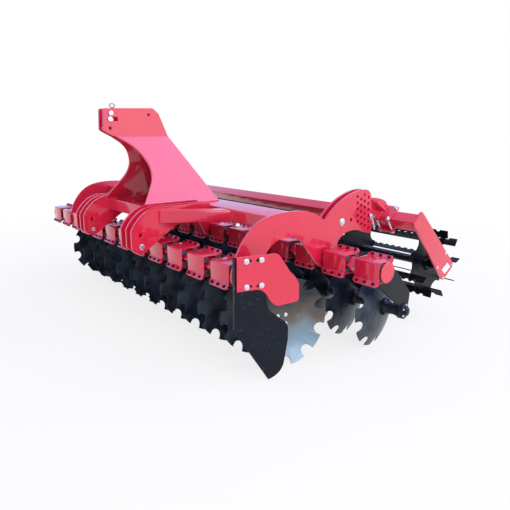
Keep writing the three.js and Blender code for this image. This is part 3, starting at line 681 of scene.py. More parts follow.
def clampShellMesh():
    inner, shell, split, reach = arm["inner"], arm["shell"], arm["split"], arm["flange"] / math.sqrt(2)
    skew = (shell + split) * math.sqrt(2)
    fold = skew - split * math.sqrt(2)
    tip = inner + reach
    cut = arm["tipCut"] / math.sqrt(2)
    outer = inner + shell
    gap = split / math.sqrt(2)
    wall = (shell + split) / math.sqrt(2)
    path = [(-tip - wall, -tip + wall), (-tip - wall + cut, -tip + wall + cut), (-outer, -outer + skew),
            (-outer, outer), (outer - skew, outer), (tip - wall - cut, tip + wall - cut),
            (tip - wall, tip + wall), (tip - gap, tip + gap), (tip - gap - cut, tip + gap - cut),
            (inner - fold, inner), (-inner, inner), (-inner, -inner + fold),
            (-tip - gap + cut, -tip + gap + cut), (-tip - gap, -tip + gap)]
    mesh = sheetMesh([roundCorners(path, arm["bend"], 5, 40)], arm["clampWidth"], 0.9)
    mesh.transform(standUp)
    for vertex in mesh.vertices:
        y, z = vertex.co.y, vertex.co.z
        if abs(y + z) > 2 * tip - 4:
            vertex.co.x -= math.copysign(arm["tipCut"], vertex.co.x)
    return mesh


def armMesh(side):
    build = Build()
    shell = clampShellMesh()
    build.add(shell, redCoat)
    build.add(shell, redCoat, shifted(turnX=180))
    half = arm["clampWidth"] / 2 + arm["rubberPast"]
    cord = arm["rubberRadius"]
    roll = latheMesh(plainBar(-half, half, cord, 2.5), 20)
    for y in (-1, 1):
        for z in (-1, 1):
            build.add(roll, rubber, shifted(0, y * arm["rubberPlace"], z * arm["rubberPlace"]))
    boltAt = arm["inner"] + 14
    rise = (arm["shell"] + arm["split"]) / math.sqrt(2)
    places = []
    for x in arm["boltsX"]:
        for end in (1, -1):
            places.append(((x, end * boltAt - rise, end * boltAt + rise), (0, -1, 1)))
            places.append(((x, end * boltAt + rise, end * boltAt - rise), (0, 1, -1)))
    build.add(fastenerMesh(places, darkBolt, "clamp"), darkBolt)
    bossY = disc["reach"] + disc["armOffset"] * math.tan(math.radians(disc["tilt"]))
    bossZ = -disc["drop"]
    edge = arm["inner"] + 3
    plate = drawOutline([(-20, -edge), ((20, -100), (70, -130)), (bossY - 47, bossZ + 39),
                         (bossY - 46, bossZ - 16), ((bossY - 24, bossZ - 48), (bossY, bossZ - 50)),
                         ((bossY + 44, bossZ - 50), (bossY + 46, bossZ)), (bossY + 58, bossZ + 96),
                         ((bossY + 60, bossZ + 114), (bossY + 49, bossZ + 127)), (234, -54),
                         ((180, -8), (edge, 24)), (edge, -edge)], 14)
    build.sheet([plate], arm["plate"], armBlack, edge=2.5)
    turned = shifted(0, bossY, bossZ, turnZ=-side * disc["tilt"])
    bossRadius, bossHalf = arm["boss"], arm["bossWidth"] / 2
    build.add(latheMesh([(-bossHalf, 0), (-bossHalf, bossRadius - 5), (-bossHalf + 3, bossRadius - 1),
                         (-bossHalf + 5, bossRadius), (bossHalf - 5, bossRadius),
                         (bossHalf - 3, bossRadius - 1), (bossHalf, bossRadius - 5), (bossHalf, 0)], 36),
              armBlack, turned)
    out = -side
    cap = [(bossHalf - 1, 0), (bossHalf - 1, 34), (bossHalf + 5, 34), (bossHalf + 8, 30), (bossHalf + 16, 27),
           (bossHalf + 20, 20), (bossHalf + 21, 0)]
    build.add(latheMesh(cap, 28), armBlack, turned @ onSide(out))
    ring = [((out * (bossHalf - 0.5), 43 * math.cos(a), 43 * math.sin(a)), (out, 0, 0))
            for a in (math.tau * (i + 0.5) / 6 for i in range(6))]
    build.add(fastenerMesh(ring, zinc, "bearing"), zinc, turned)
    return build


for row, side, y, firstX in (("front", 1, 0, layout["firstFrontX"]),
                             ("rear", -1, layout["rowSpacing"], layout["firstRearX"])):
    shape = armMesh(side)
    for k in range(layout["discsPerRow"]):
        at = toPart @ shifted(firstX - k * layout["discPitch"], y)
        finishPiece(shape, f"{row}Arm{k + 1}", at, "frame", f"{row}_arm_{k + 1}")
print("arms done")

# Gang tubes
gang = {"frontFrom": -1722, "frontTo": 1366, "rearFrom": -1303, "rearTo": 1722}
deflector = {"x": 1375, "toe": 12, "bracket": 10, "plate": 6, "front": -134, "bottom": -608.8, "slot": 40,
             "slotWidth": 17}


def gangTubeBuild(low, high, caps):
    build = Build()
    tube = sheetMesh([rectangle(tubeSize["side"], tubeSize["side"], tubeSize["corner"])], high - low, 0.8)
    tube.transform(shifted((low + high) / 2, turnX=45) @ standUp)
    for vertex in tube.vertices:
        if not caps[1] and vertex.co.x > high - 5:
            vertex.co.x += vertex.co.y * math.tan(math.radians(deflector["toe"]))
    build.add(tube, redCoat)
    cap = latheMesh(plainBar(0, tubeSize["capThickness"], tubeSize["capRadius"], 1.5), 48)
    beads = []
    for end, wanted in zip((low, high), caps):
        if wanted:
            side = math.copysign(1, end)
            build.add(cap, redCoat, shifted(end) @ onSide(end))
            corner = tubeSize["side"] / math.sqrt(2)
            beads.append([(end - side * 1.5, y * corner, z * corner)
                          for y, z in ((1, 0), (0, 1), (-1, 0), (0, -1), (1, 0))])
    build.add(weldMesh(beads, redCoat), redCoat)
    return build


toed = shifted(deflector["x"], turnZ=-deflector["toe"])
frontTube = gangTubeBuild(gang["frontFrom"], gang["frontTo"], (True, False))
bracket = drawOutline([(-116, -49), (-116, 142), (110, 140), ((140, 138), (155, 112)), (215, 25),
                       ((276, -28), (276, -70)), (276, -135), ((274, -156), (256, -158)), (144, -165),
                       ((110, -160), (82, -116)), ((50, -54), (2, -50))])
boltSpots = ((-59, 115, 1), (32, 114, -1), (-57, -27, 1), (33, -29, -1))  # last: which way the slot runs on
slots = [slotLoop(y + way * 12, z, deflector["slot"], deflector["slotWidth"]) for y, z, way in boltSpots]
frontTube.sheet([bracket] + slots, deflector["bracket"], redCoat, toed)
frontTube.add(weldMesh([[(deflector["x"] - 8, 49, 3), (deflector["x"] - 12, 0, 52),
                         (deflector["x"] - 20, -49, 3), (deflector["x"] - 12, 0, -46)]], redCoat), redCoat)
finishPiece(frontTube, "frontGangTube", toPart, "frame", "front_gang_tube")
rearTube = gangTubeBuild(gang["rearFrom"], gang["rearTo"], (True, True))
rearRow = shifted(0, layout["rowSpacing"])
finishPiece(rearTube, "rearGangTube", toPart @ rearRow, "frame", "rear_gang_tube")

# Side deflector: black plate behind the bracket, folded forward edge
face = -deflector["bracket"] / 2 - 0.3
bottom, front = deflector["bottom"], deflector["front"]
plateOutline = drawOutline([(front, 140), (front, bottom + 345), (88, bottom),
                            ((170, bottom + 14), (190, bottom + 80)), (215, bottom + 225), (215, -320),
                            ((212, -276), (168, -252)), (94, -188), ((70, -150), (70, -110)), (70, 136)])
opening = roundCorners([(-53.7, 0), (0, -53.7), (53.7, 0), (0, 53.7)], 9)
deflectorBuild = Build()
deflectorBuild.sheet([plateOutline, opening], deflector["plate"], plateBlack,
                     toed @ shifted(face - deflector["plate"] / 2))
fold = drawOutline([(face - 5.4, 140), (face - 5.4, bottom + 345), (face + 17, bottom + 352),
                    (face + 17.4, 128)])
deflectorBuild.add(sheetMesh([roundCorners(fold, 4)], deflector["plate"], 1.2), plateBlack,
                   toed @ shifted(0, front + deflector["plate"] / 2) @ swapYZ)
heads = [((5.2, y, z), (1, 0, 0)) for y, z, way in boltSpots]
nutsBehind = [((face - deflector["plate"] - 0.3, y, z), (-1, 0, 0)) for y, z, way in boltSpots]
deflectorBuild.add(fastenerMesh(heads, zinc, "deflectorHead"), zinc, toed)
deflectorBuild.add(fastenerMesh(nutsBehind, zinc, "deflectorNut"), zinc, toed)
finishPiece(deflectorBuild, "sideDeflector", toPart, "frame", "side_deflector")
print("gang tubes and deflector done")

# Side plates with the roller's adjusting holes
sidePlate = {"x": 1250, "thickness": 16, "gap": 34, "holes": 11.2, "lockHole": 13, "pivot": (825, 216),
             "pivotRadius": 15}
holeColumns = ((974, 369, 988, 201, 5), (1013, 350, 1028, 182, 5), (1047, 375, 1066, 166, 6),
               (1087, 357, 1108, 144, 6))
lobeEdge = [((800, 386), (1004, 412)), (1065, 411), ((1116, 402), (1122, 345)), (1143, 160),
            ((1150, 98), (1108, 107)), (993, 143)]
tubeHole = roundCorners([(-50, 0), (0, -50), (50, 0), (0, 50)], 8)


def lobeHoles():
    places = []
    for y0, z0, y1, z1, count in holeColumns:
        for i in range(count):
            places.append((y0 + (y1 - y0) * i / (count - 1), z0 + (z1 - z0) * i / (count - 1)))
    small = [circle(y, z, sidePlate["holes"], 20) for y, z in places]
    return small + [circle(918, 221, sidePlate["lockHole"], 20)]


def sidePlateMesh():
    build = Build()
    outer = drawOutline([(-74, 20), (-35, 127), ((40, 272), (160, 306)), ((250, 334), (410, 326)),
                         ((560, 318), (650, 250)), (672, 250)] + lobeEdge
                        + [((840, 164), (790, 80)), (762, -28), ((742, -76), (690, -78)),
                           ((630, -66), (586, -8)), (472, 121), ((430, 170), (380, 170)), (286, 170),
                           ((210, 160), (160, 80)), (76, -10), ((60, -76), (0, -76)),
                           ((-80, -66), (-74, 20))])
    rearHole = [(y + layout["rowSpacing"], z) for y, z in tubeHole]
    thick = sidePlate["thickness"]
    build.sheet([outer, tubeHole, rearHole] + lobeHoles(), thick, redCoat)
    inner = drawOutline([(672, 250)] + lobeEdge + [((880, 164), (800, 130)), (640, 130), (640, 220)])
    innerX = -thick - sidePlate["gap"]
    build.sheet([inner] + lobeHoles(), thick, redCoat, shifted(innerX))
    build.sheet([roundCorners([(650, 145), (740, 145), (740, 205), (650, 205)], 6)], sidePlate["gap"] + 2,
                redCoat, shifted(innerX / 2))
    y, z = sidePlate["pivot"]
    pinRadius = sidePlate["pivotRadius"]
    build.add(latheMesh([(innerX - 20, 0), (innerX - 20, pinRadius - 2), (innerX - 18, pinRadius),
                         (19, pinRadius), (20, pinRadius - 1), (20, 0)], 28), zinc, shifted(0, y, z))
    build.add(fastenerMesh([((thick / 2, y, z), (1, 0, 0)), ((innerX - thick / 2, y, z), (-1, 0, 0))], zinc,
                           "pivot"), zinc)
    lines = [[(side * (thick / 2 + 0.5), y + 50 * math.cos(a), 50 * math.sin(a)) for a in corners]
             for side in (1, -1) for y in (0, layout["rowSpacing"])
             for corners in ((0.15, math.pi / 2 - 0.15), (math.pi / 2 + 0.15, math.pi - 0.15))]
    build.add(weldMesh(lines, redCoat, 4.0), redCoat)
    # The parked adjusting pin with its bent handle
    grip = [(9.5, 1124, 224), (12, 1142, 194), (13, 1156, 162), (13, 1166, 128)]
    build.add(rodMesh(grip, 7.5, 12), zinc)
    build.add(latheMesh([(6, 0), (6, 16), (9, 18), (17, 18), (20, 15), (20, 0)], 20), zinc,
              shifted(0, 1124, 224))
    return build


plateBuild = sidePlateMesh()
for label, sign in (("Left", 1), ("Right", -1)):
    at = toPart @ shifted(sign * sidePlate["x"]) @ onSide(sign)
    finishPiece(plateBuild, "sidePlate" + label, at, "frame", "side_plate_" + label.lower())
print("side plates done")

# Main beam and centre leg
mainBeam = {"front": 314, "depth": 250, "bottom": 200, "height": 85, "half": 1241.5, "corner": 9, "leg": 16}
beamBuild = Build()
beamY, beamZ = mainBeam["front"] + mainBeam["depth"] / 2, mainBeam["bottom"] + mainBeam["height"] / 2
beamBuild.add(barMesh(2 * mainBeam["half"], mainBeam["depth"], mainBeam["height"], mainBeam["corner"]),
              redCoat, shifted(0, beamY, beamZ))
leg = drawOutline([(-74, 20), ((-40, 120), (60, 140)), (314, 203), (564, 203), ((750, 150), (764, 20)),
                   ((770, -70), (690, -76)), ((630, -66), (586, -8)), ((520, 130), (440, 140)), (286, 140),
                   ((190, 120), (76, -10)), ((60, -76), (0, -76)), ((-80, -66), (-74, 20))])
beamBuild.sheet([leg, tubeHole, [(y + layout["rowSpacing"], z) for y, z in tubeHole]], mainBeam["leg"],
                redCoat)
top, bottom = mainBeam["bottom"] + mainBeam["height"], mainBeam["bottom"]
back = mainBeam["front"] + mainBeam["depth"]
lines = [[(side * mainBeam["half"], mainBeam["front"], bottom + 6),
          (side * mainBeam["half"], mainBeam["front"], top - 4),
          (side * mainBeam["half"], mainBeam["front"] + 6, top), (side * mainBeam["half"], back - 6, top),
          (side * mainBeam["half"], back, top - 6), (side * mainBeam["half"], back, bottom + 6)]
         for side in (1, -1)]
lines += [[(side * 8, mainBeam["front"] + 8, bottom), (side * 8, back - 8, bottom)] for side in (1, -1)]
beamBuild.add(weldMesh(lines, redCoat), redCoat)
finishPiece(beamBuild, "mainBeam", toPart, "frame", "main_beam")

# Lower hitch: three plates a side, cross tube, braces, pins
hitch = {"plates": (327, 401, 475), "thickness": 16, "front": -284, "top": 304, "rear": 313.7, "pin": 14,
         "lowerPin": (-216, 57), "upperPin": (-220, 133), "crossFront": -83, "crossSize": 85,
         "braceHeight": 80}
hitchBuild = Build()
plate = drawOutline([(hitch["front"], 50), (hitch["front"], 168), ((-220, 282), (-110, hitch["top"])),
                     (hitch["rear"], hitch["top"]), (hitch["rear"], 200), (130, 200), ((60, 190), (-40, 118)),
                     (-166, 36), ((-225, -20), (hitch["front"], 50))])
plate = roundCorners(plate, 10, 4, 25)
upperHole = circle(*hitch["upperPin"], hitch["pin"], 28)
outmost = hitch["plates"][-1] + hitch["thickness"] / 2
inmost = hitch["plates"][0] - hitch["thickness"] / 2
pinY, pinZ = hitch["lowerPin"]
crossSize = hitch["crossSize"]
crossY, crossZ = hitch["crossFront"] + crossSize / 2, mainBeam["bottom"] + crossSize / 2
beadLines = []
for side in (1, -1):
    for x in hitch["plates"]:
        hitchBuild.sheet([plate, upperHole], hitch["thickness"], redCoat, shifted(side * x))
        for way in (-1, 1):
            faceX = side * x + way * hitch["thickness"] / 2
            beadLines.append([(faceX, hitch["rear"], 206), (faceX, hitch["rear"], 298)])
    crossBeadX = side * (inmost - 0.5)
    beadLines.append([(crossBeadX, hitch["crossFront"] + 1, 204), (crossBeadX, hitch["crossFront"] + 1, 281),
                      (crossBeadX, -79, 285), (crossBeadX, -2, 285)])
    pin = latheMesh([(inmost - 14, 0), (inmost - 14, 11), (inmost - 11, 14), (outmost + 1, 14),
                     (outmost + 1, 19), (outmost + 9, 19), (outmost + 12, 16), (outmost + 12, 0)], 30)
    hitchBuild.add(pin, zinc, shifted(0, pinY, pinZ) @ onSide(side))
    braceHeight = hitch["braceHeight"]
    brace = roundCorners([(475, -83), (495, -83), (739, 313.4), (641, 313.4), (475, 44)], 3, 3)
    hitchBuild.add(sheetMesh([brace], braceHeight, 5), redCoat,
                   shifted(0, 0, mainBeam["bottom"] + braceHeight / 2) @ onSide(side))
    beadLines.append([(side * (outmost + 1), -70, 204), (side * (outmost + 1), -70, 276),
                      (side * (outmost + 2), -64, 280)])
    beadLines.append([(side * 735, 313, 206), (side * 735, 313, 276), (side * 731, 313, 280),
                      (side * 645, 313, 280)])
hitchBuild.add(barMesh(2 * inmost + 2, crossSize, crossSize, 8), redCoat, shifted(0, crossY, crossZ))
for side in (1, -1):
    for inner, outer in zip(hitch["plates"], hitch["plates"][1:]):
        hitchBuild.add(barMesh(outer - inner - hitch["thickness"] + 1, crossSize, crossSize, 8), redCoat,
                       shifted(side * (inner + outer) / 2, crossY, crossZ))
hitchBuild.add(weldMesh(beadLines, redCoat), redCoat)
finishPiece(hitchBuild, "lowerHitch", toPart, "frame", "lower_hitch")
print("beam and hitch done")

# Headstock: two bent plates, plate across the rear, top-link pins
tower = {"innerX": 35, "thickness": 16, "bend": 746, "foot": 285.6, "footX": 327, "rearAtBend": 259,
         "rearAtFoot": 504, "bendLength": 26, "topPin": (-177, 903), "slotPin": (-186, 865)}
dropDown = tower["bend"] - tower["foot"]
slope = math.hypot(dropDown, tower["footX"] - tower["innerX"])
bendAngle = math.atan2(tower["footX"] - tower["innerX"], dropDown)


def down(z):
    return tower["bend"] - (tower["bend"] - z) * slope / dropDown


def bentPlateMesh():
    upper = roundCorners([(-236, 790), (-228, 934), (141, 947), (187, 909), (259, 746), (300, 655)], 15, 5,
                         12)
    upper = [p for p in upper if p[1] > 746.5]
    foot = [(tower["rearAtBend"], 746), (tower["rearAtFoot"], down(tower["foot"])),
            (-98, down(tower["foot"])), (-98, down(304)), ((-20, down(400)), (14, down(455))),
            ((52, down(530)), (14, down(600))), ((-20, down(690)), (-150, 746)), ((-190, 766), (-232, 788))]
    full = drawOutline(upper + foot, 14)
    holes = [circle(*tower["topPin"], 13.2, 28), slotLoop(-162, 865, 76, 27, 0, 10),
             circle(-186, 804, 12, 24), circle(106, 899, 11, 24)]
    mesh = sheetMesh([full] + holes, tower["thickness"], 1.2)
    mesh.transform(standUp)
    work = bmesh.new()
    work.from_mesh(mesh)
    length = tower["bendLength"]
    for i in range(7):
        z = tower["bend"] + length * (0.5 - i / 6)
        bmesh.ops.bisect_plane(work, geom=work.verts[:] + work.edges[:] + work.faces[:], plane_co=(0, 0, z),
                               plane_no=(0, 0, 1))
    bendRadius = length / bendAngle
    for vertex in work.verts:
        x, z = vertex.co.x, vertex.co.z
        passed = tower["bend"] + length / 2 - z
        a = min(max(passed / length, 0), 1) * bendAngle
        alongX = bendRadius * (1 - math.cos(a)) + max(0, passed - length) * math.sin(bendAngle)
        fall = bendRadius * math.sin(a) + max(0, passed - length) * math.cos(bendAngle) + min(0, passed)
        vertex.co.x = alongX + x * math.cos(a)
        vertex.co.z = tower["bend"] + length / 2 - fall + x * math.sin(a)
    bmesh.ops.bisect_plane(work, geom=work.verts[:] + work.edges[:] + work.faces[:],
                           plane_co=(0, 0, tower["foot"]), plane_no=(0, 0, -1), clear_outer=True)
    bmesh.ops.holes_fill(work, edges=[e for e in work.edges if e.is_boundary], sides=0)
    work.to_mesh(mesh)
    work.free()
    return mesh


headBuild = Build()
bent = bentPlateMesh()
for side in (1, -1):
    headBuild.add(bent, redCoat, shifted(side * tower["innerX"]) @ onSide(side))
leanAngle = math.degrees(math.atan2(tower["rearAtFoot"] - tower["rearAtBend"], dropDown))
leanLength = math.hypot(tower["rearAtFoot"] - tower["rearAtBend"], dropDown)
rearPlate = [(-30, -2), (30, -2), (tower["footX"] - 6, -leanLength), (-tower["footX"] + 6, -leanLength)]
headBuild.add(sheetMesh([rearPlate], 12, 1), redCoat,
              shifted(0, tower["rearAtBend"] - 9, tower["bend"] - 3) @ shifted(turnX=90 + leanAngle))
headBuild.sheet([[(183, 906), (169, 906), (243, 742), (257, 742)]],
                2 * tower["innerX"] - tower["thickness"] + 1, redCoat)
outside = tower["innerX"] + tower["thickness"] / 2
for y, z in (tower["topPin"], tower["slotPin"]):
    headBuild.add(latheMesh([(-outside - 12, 0), (-outside - 12, 10), (-outside - 10, 12.4),
                             (outside + 1, 12.4), (outside + 1, 16.5), (outside + 9, 16.5),
                             (outside + 12, 13.5), (outside + 12, 0)], 28), zinc, shifted(0, y, z))
ringSpots = [(0, -143 + 19 * math.cos(math.tau * i / 28), 955 + 13 * math.sin(math.tau * i / 28))
             for i in range(28)]
headBuild.add(rodMesh(ringSpots, 3.4, 12, True), springSteel, shifted(-4))
lines = [[(side * (tower["footX"] + way * 9), -94, 305), (side * (tower["footX"] + way * 9), 300, 305)]
         for side in (1, -1) for way in (-1, 1)]
lines += [[(side * (tower["footX"] + 9), 316, 287), (side * (tower["footX"] + 9), 500, 287)]
          for side in (1, -1)]
lines += [[(-tower["footX"] + 10, 505, 288), (tower["footX"] - 10, 505, 288)]]
lines += [[(side * 30, tower["rearAtBend"] - 18, tower["bend"] - 8),
           (side * 318, tower["rearAtFoot"] - 18, 294)] for side in (1, -1)]
headBuild.add(weldMesh(lines, redCoat), redCoat)
finishPiece(headBuild, "headstock", toPart, "frame", "headstock")
print("headstock done")

# Roller frame: swinging arms with saddles, square beam, end arms
carrier = {"beamY": 1322, "beamZ": 187, "beam": 88, "tilt": 36, "endX": 1512, "endThickness": 16,
           "armX": 1225, "arm": 24, "saddleOffset": 40, "saddleWidth": 130, "saddleLength": 150, "saddle": 14,
           "bolt": 8, "eye": 46, "eyeHole": 16.6}
onBeam = shifted(0, carrier["beamY"], carrier["beamZ"], turnX=carrier["tilt"])
lift = carrier["beam"] / 2 + 0.3


def rollerArmMesh():
    build = Build()
    pivotY, pivotZ = sidePlate["pivot"]
    seat = lift + carrier["saddle"] - 1
    ends = [(onBeam @ Vector((0, along, seat))).yz
            for along in (carrier["saddleLength"] / 2 - 4, -carrier["saddleLength"] / 2 + 4)]
    eye = carrier["eye"]
    arc = [(pivotY + eye * math.cos(a), pivotZ + eye * math.sin(a))
           for a in (math.radians(-90 - 180 * i / 16) for i in range(1, 16))]
    shape = drawOutline([(pivotY, pivotZ + eye), (1040, 330), ((1100, 348), (1150, 347)),
                         ((1262, 342), (1322, 306)), tuple(ends[0]), tuple(ends[1]), (1216, 214),
                         ((1160, 248), (1060, 238)), (pivotY, pivotZ - eye)] + arc)
    build.sheet([shape, circle(pivotY, pivotZ, carrier["eyeHole"], 24)], carrier["arm"], redCoat, edge=1.6)
    middle, wide, half = carrier["saddleOffset"], carrier["saddleWidth"], carrier["saddleLength"] / 2
    pad = sheetMesh([roundCorners([(-wide / 2, -half), (wide / 2, -half), (wide / 2, half),
                                   (-wide / 2, half)], 8)], carrier["saddle"], 1.2)
    for z in (lift + carrier["saddle"] / 2, -lift - carrier["saddle"] / 2):
        build.add(pad, redCoat, onBeam @ shifted(middle, 0, z))
    build.sheet([[(1148, 322), (1162, 334), (1262, 262), (1252, 246)]], 54, redCoat, shifted(38))
    around = carrier["beam"] / 2 + carrier["bolt"] + 4
    out = lift + carrier["saddle"]
    spots = []
    for x in (middle - wide / 2 + 16, middle + wide / 2 - 16):
        for y in (-around, around):
            build.add(rodMesh([(x, y, -out - 16), (x, y, out + 16)], carrier["bolt"], 14), zinc, onBeam)
            spots += [((x, y, out), (0, 0, 1)), ((x, y, -out), (0, 0, -1))]
    build.add(fastenerMesh(spots, zinc, "saddle"), zinc, onBeam)
    lines = [[tuple(onBeam @ Vector((side * 13, a, out))) for a in (-half + 8, half - 8)] for side in (1, -1)]
    lines.append([(13, 1160, 326), (13, 1256, 260)])
    build.add(weldMesh(lines, redCoat), redCoat)
    return build


armBuild = rollerArmMesh()
for label, sign in (("Left", 1), ("Right", -1)):
    at = toPart @ shifted(sign * carrier["armX"]) @ onSide(sign)
    finishPiece(armBuild, "rollerArm" + label, at, "roller_frame", "roller_arm_" + label.lower())

cage = {"y": 1705, "z": -175, "radius": 262, "valley": 205, "bars": 9, "plates": 5, "plate": 10, "half": 1380,
        "barHeight": 58, "bar": 8, "barTilt": 22, "barPast": 113, "axle": 30, "stub": 22, "hubRadius": 62,
        "collar": 34, "toothPitch": 62, "toothDepth": 13}
carrierBuild = Build()
endInside = carrier["endX"] - carrier["endThickness"] / 2
carrierBuild.add(barMesh(2 * endInside + 1, carrier["beam"], carrier["beam"], 8), redCoat, onBeam)
endArm = roundCorners([(1247, 190), (1340, 268), (1814, -162), (1832, -190), (1702, -285), (1676, -270)], 16,
                      5, 12)
boltsAt = [(cage["y"] + dy, cage["z"] + dz) for dy, dz in ((-2, 97), (-100, 5), (110, -10), (-5, -91))]
lines = []
for side in (1, -1):
    at = shifted(side * carrier["endX"])
    carrierBuild.sheet([endArm], carrier["endThickness"], redCoat, at)
    corner = carrier["beam"] / 2
    lines.append([tuple(onBeam @ Vector((side * endInside, a, b)))
                  for a, b in ((corner, corner), (-corner, corner), (-corner, -corner), (corner, -corner),
                               (corner, corner))])
    outX = side * (carrier["endX"] + carrier["endThickness"] / 2)
    carrierBuild.add(fastenerMesh([((outX, y, z), (side, 0, 0)) for y, z in boltsAt], zinc, "endArm"), zinc)
    flange = sheetMesh([roundCorners([(-88, -26), (-26, -88), (26, -88), (88, -26), (88, 26), (26, 88),
                                      (-26, 88), (-88, 26)], 14), circle(0, 0, 24, 28)], 9, 1.2)
    inX = side * (endInside - 4.8)
    carrierBuild.add(flange, armBlack, shifted(inX, cage["y"], cage["z"]) @ standUp)
    blankPlate = sheetMesh([roundCorners([(-38, -23), (32, 20), (81, -18), (6, -61)], 4, 3)], 0.9, 0.2)
    carrierBuild.add(blankPlate, blankLabel, shifted(outX + side * 0.3, cage["y"], cage["z"]) @ standUp)
carrierBuild.add(weldMesh(lines, redCoat), redCoat)
finishPiece(carrierBuild, "rollerBeam", toPart, "roller_frame", "roller_beam")
print("roller frame done")

# Cage roller: star plates on an axle, toothed flat bars through their tips
cageBuild = Build()
star = []
for i in range(cage["bars"]):
    a = math.tau * i / cage["bars"]
    tipAngle, tip, valley = math.radians(5), cage["radius"] - 7, math.pi / cage["bars"]
    star.append((tip * math.cos(a - tipAngle), tip * math.sin(a - tipAngle)))
    star.append((tip * math.cos(a + tipAngle), tip * math.sin(a + tipAngle)))
    for share, radius in ((0.45, 222), (0.72, 208), (1.0, cage["valley"]), (1.28, 208), (1.55, 222)):
        b = a + valley * share
        star.append((radius * math.cos(b), radius * math.sin(b)))
starPlate = sheetMesh([star, circle(0, 0, cage["axle"] - 1, 24)], cage["plate"], 1.2)
for i in range(cage["plates"]):
    cageBuild.add(starPlate, rollerBlack,
                  shifted(-cage["half"] + 2 * cage["half"] * i / (cage["plates"] - 1)) @ standUp)
barEnd = cage["half"] + cage["plate"] / 2 + cage["barPast"]
bar = [(-barEnd, -cage["barHeight"] / 2), (barEnd, -cage["barHeight"] / 2), (barEnd, cage["barHeight"] / 2)]
teeth = int(2 * (barEnd - 60) / cage["toothPitch"])
for i in range(teeth):
    x = barEnd - 60 - i * cage["toothPitch"]
    top = cage["barHeight"] / 2
    bar += [(x, top), (x - 9, top - cage["toothDepth"]), (x - 29, top - cage["toothDepth"]), (x - 38, top)]
bar.append((-barEnd, cage["barHeight"] / 2))
barShape = sheetMesh([bar], cage["bar"], 1.0)
barShape.transform(shifted(0, cage["radius"] - cage["barHeight"] / 2 - 2, 0, turnX=cage["barTilt"]))
cageBuild.add(runTree(ringOfCopies, barShape, {"Count": cage["bars"], "Material": rollerBlack}), rollerBlack)
axleEnd, stubEnd = cage["half"] + 4, endInside - 1
cageBuild.add(latheMesh([(-axleEnd, 0), (-axleEnd, cage["axle"]), (axleEnd, cage["axle"]), (axleEnd, 0)], 32),
              rollerBlack)
for side in (1, -1):
    stub = latheMesh([(axleEnd, 0), (axleEnd, cage["hubRadius"]), (axleEnd + 10, cage["hubRadius"]),
                      (axleEnd + 12, cage["collar"]), (axleEnd + 58, cage["collar"]),
                      (axleEnd + 60, cage["stub"]), (stubEnd - 1.5, cage["stub"]),
                      (stubEnd, cage["stub"] - 1.5), (stubEnd, 0)], 36)
    cageBuild.add(stub, rollerBlack, onSide(side))
    hubBolts = [(((axleEnd + 10) * side, 50 * math.cos(a), 50 * math.sin(a)), (side, 0, 0))
                for a in (math.tau * i / 6 for i in range(6))]
    cageBuild.add(fastenerMesh(hubBolts, darkBolt, "axleHub"), darkBolt)
lines = []
for i in range(cage["plates"]):
    x = -cage["half"] + 2 * cage["half"] * i / (cage["plates"] - 1)
    for side in (-1, 1):
        if abs(x + side * 6) < cage["half"]:
            lines.append([(x + side * 6, 32 * math.cos(a), 32 * math.sin(a))
                          for a in (math.tau * j / 16 for j in range(17))])
cageBuild.add(weldMesh(lines, rollerBlack, 3.5), rollerBlack)
finishPiece(cageBuild, "cageRoller", toPart @ shifted(0, cage["y"], cage["z"]), "roller",
            "roller")
print("roller done")

# Floor, light, camera
stage = {"half": 30, "nearShare": 0.78, "nearReach": 2.0, "farReach": 5.5}
floorMesh = bpy.data.meshes.new("floor")
floorMesh.from_pydata([(x * stage["half"], y * stage["half"], 0)
                       for x, y in ((-1, -1), (1, -1), (1, 1), (-1, 1))], [], [(0, 1, 2, 3)])
floor = bpy.data.objects.new("floor", floorMesh)
bpy.context.scene.collection.objects.link(floor)
floorPaint, tree, place = newMaterial("paleFloor")
shade = addNode(tree, "ShaderNodeTexNoise", {"Vector": place, "Scale": 0.6})
colour = addNode(tree, "ShaderNodeMix", {0: shade.outputs[0], 6: linear("#F4F4F5"), 7: linear("#FAFAFA")},
                 data_type="RGBA")
flat = addNode(tree, "ShaderNodeBsdfDiffuse", {"Color": colour.outputs[2]})
white = addNode(tree, "ShaderNodeEmission", {"Color": linear("#FFFFFF"), "Strength": 1.0})
seen = addNode(tree, "ShaderNodeLightPath").outputs
direct = addNode(tree, "ShaderNodeMath", {0: seen["Is Camera Ray"], 1: seen["Is Transmission Ray"]},
                 operation="MAXIMUM")
clear = addNode(tree, "ShaderNodeMath", {0: direct.outputs[0], 1: seen["Is Glossy Ray"]}, operation="MAXIMUM")
reach = addNode(tree, "ShaderNodeVectorMath", {0: place}, operation="LENGTH")
share = addNode(tree, "ShaderNodeMapRange",
                {"Value": reach.outputs["Value"], "From Min": stage["nearReach"],
                 "From Max": stage["farReach"], "To Min": stage["nearShare"], "To Max": 1.0})
lifted = addNode(tree, "ShaderNodeMath", {0: clear.outputs[0], 1: share.outputs[0]}, operation="MULTIPLY")
paint = addNode(tree, "ShaderNodeMixShader", {0: lifted.outputs[0], 1: flat.outputs[0], 2: white.outputs[0]})
addNode(tree, "ShaderNodeOutputMaterial", {"Surface": paint.outputs[0]})
floorMesh.materials.append(floorPaint)

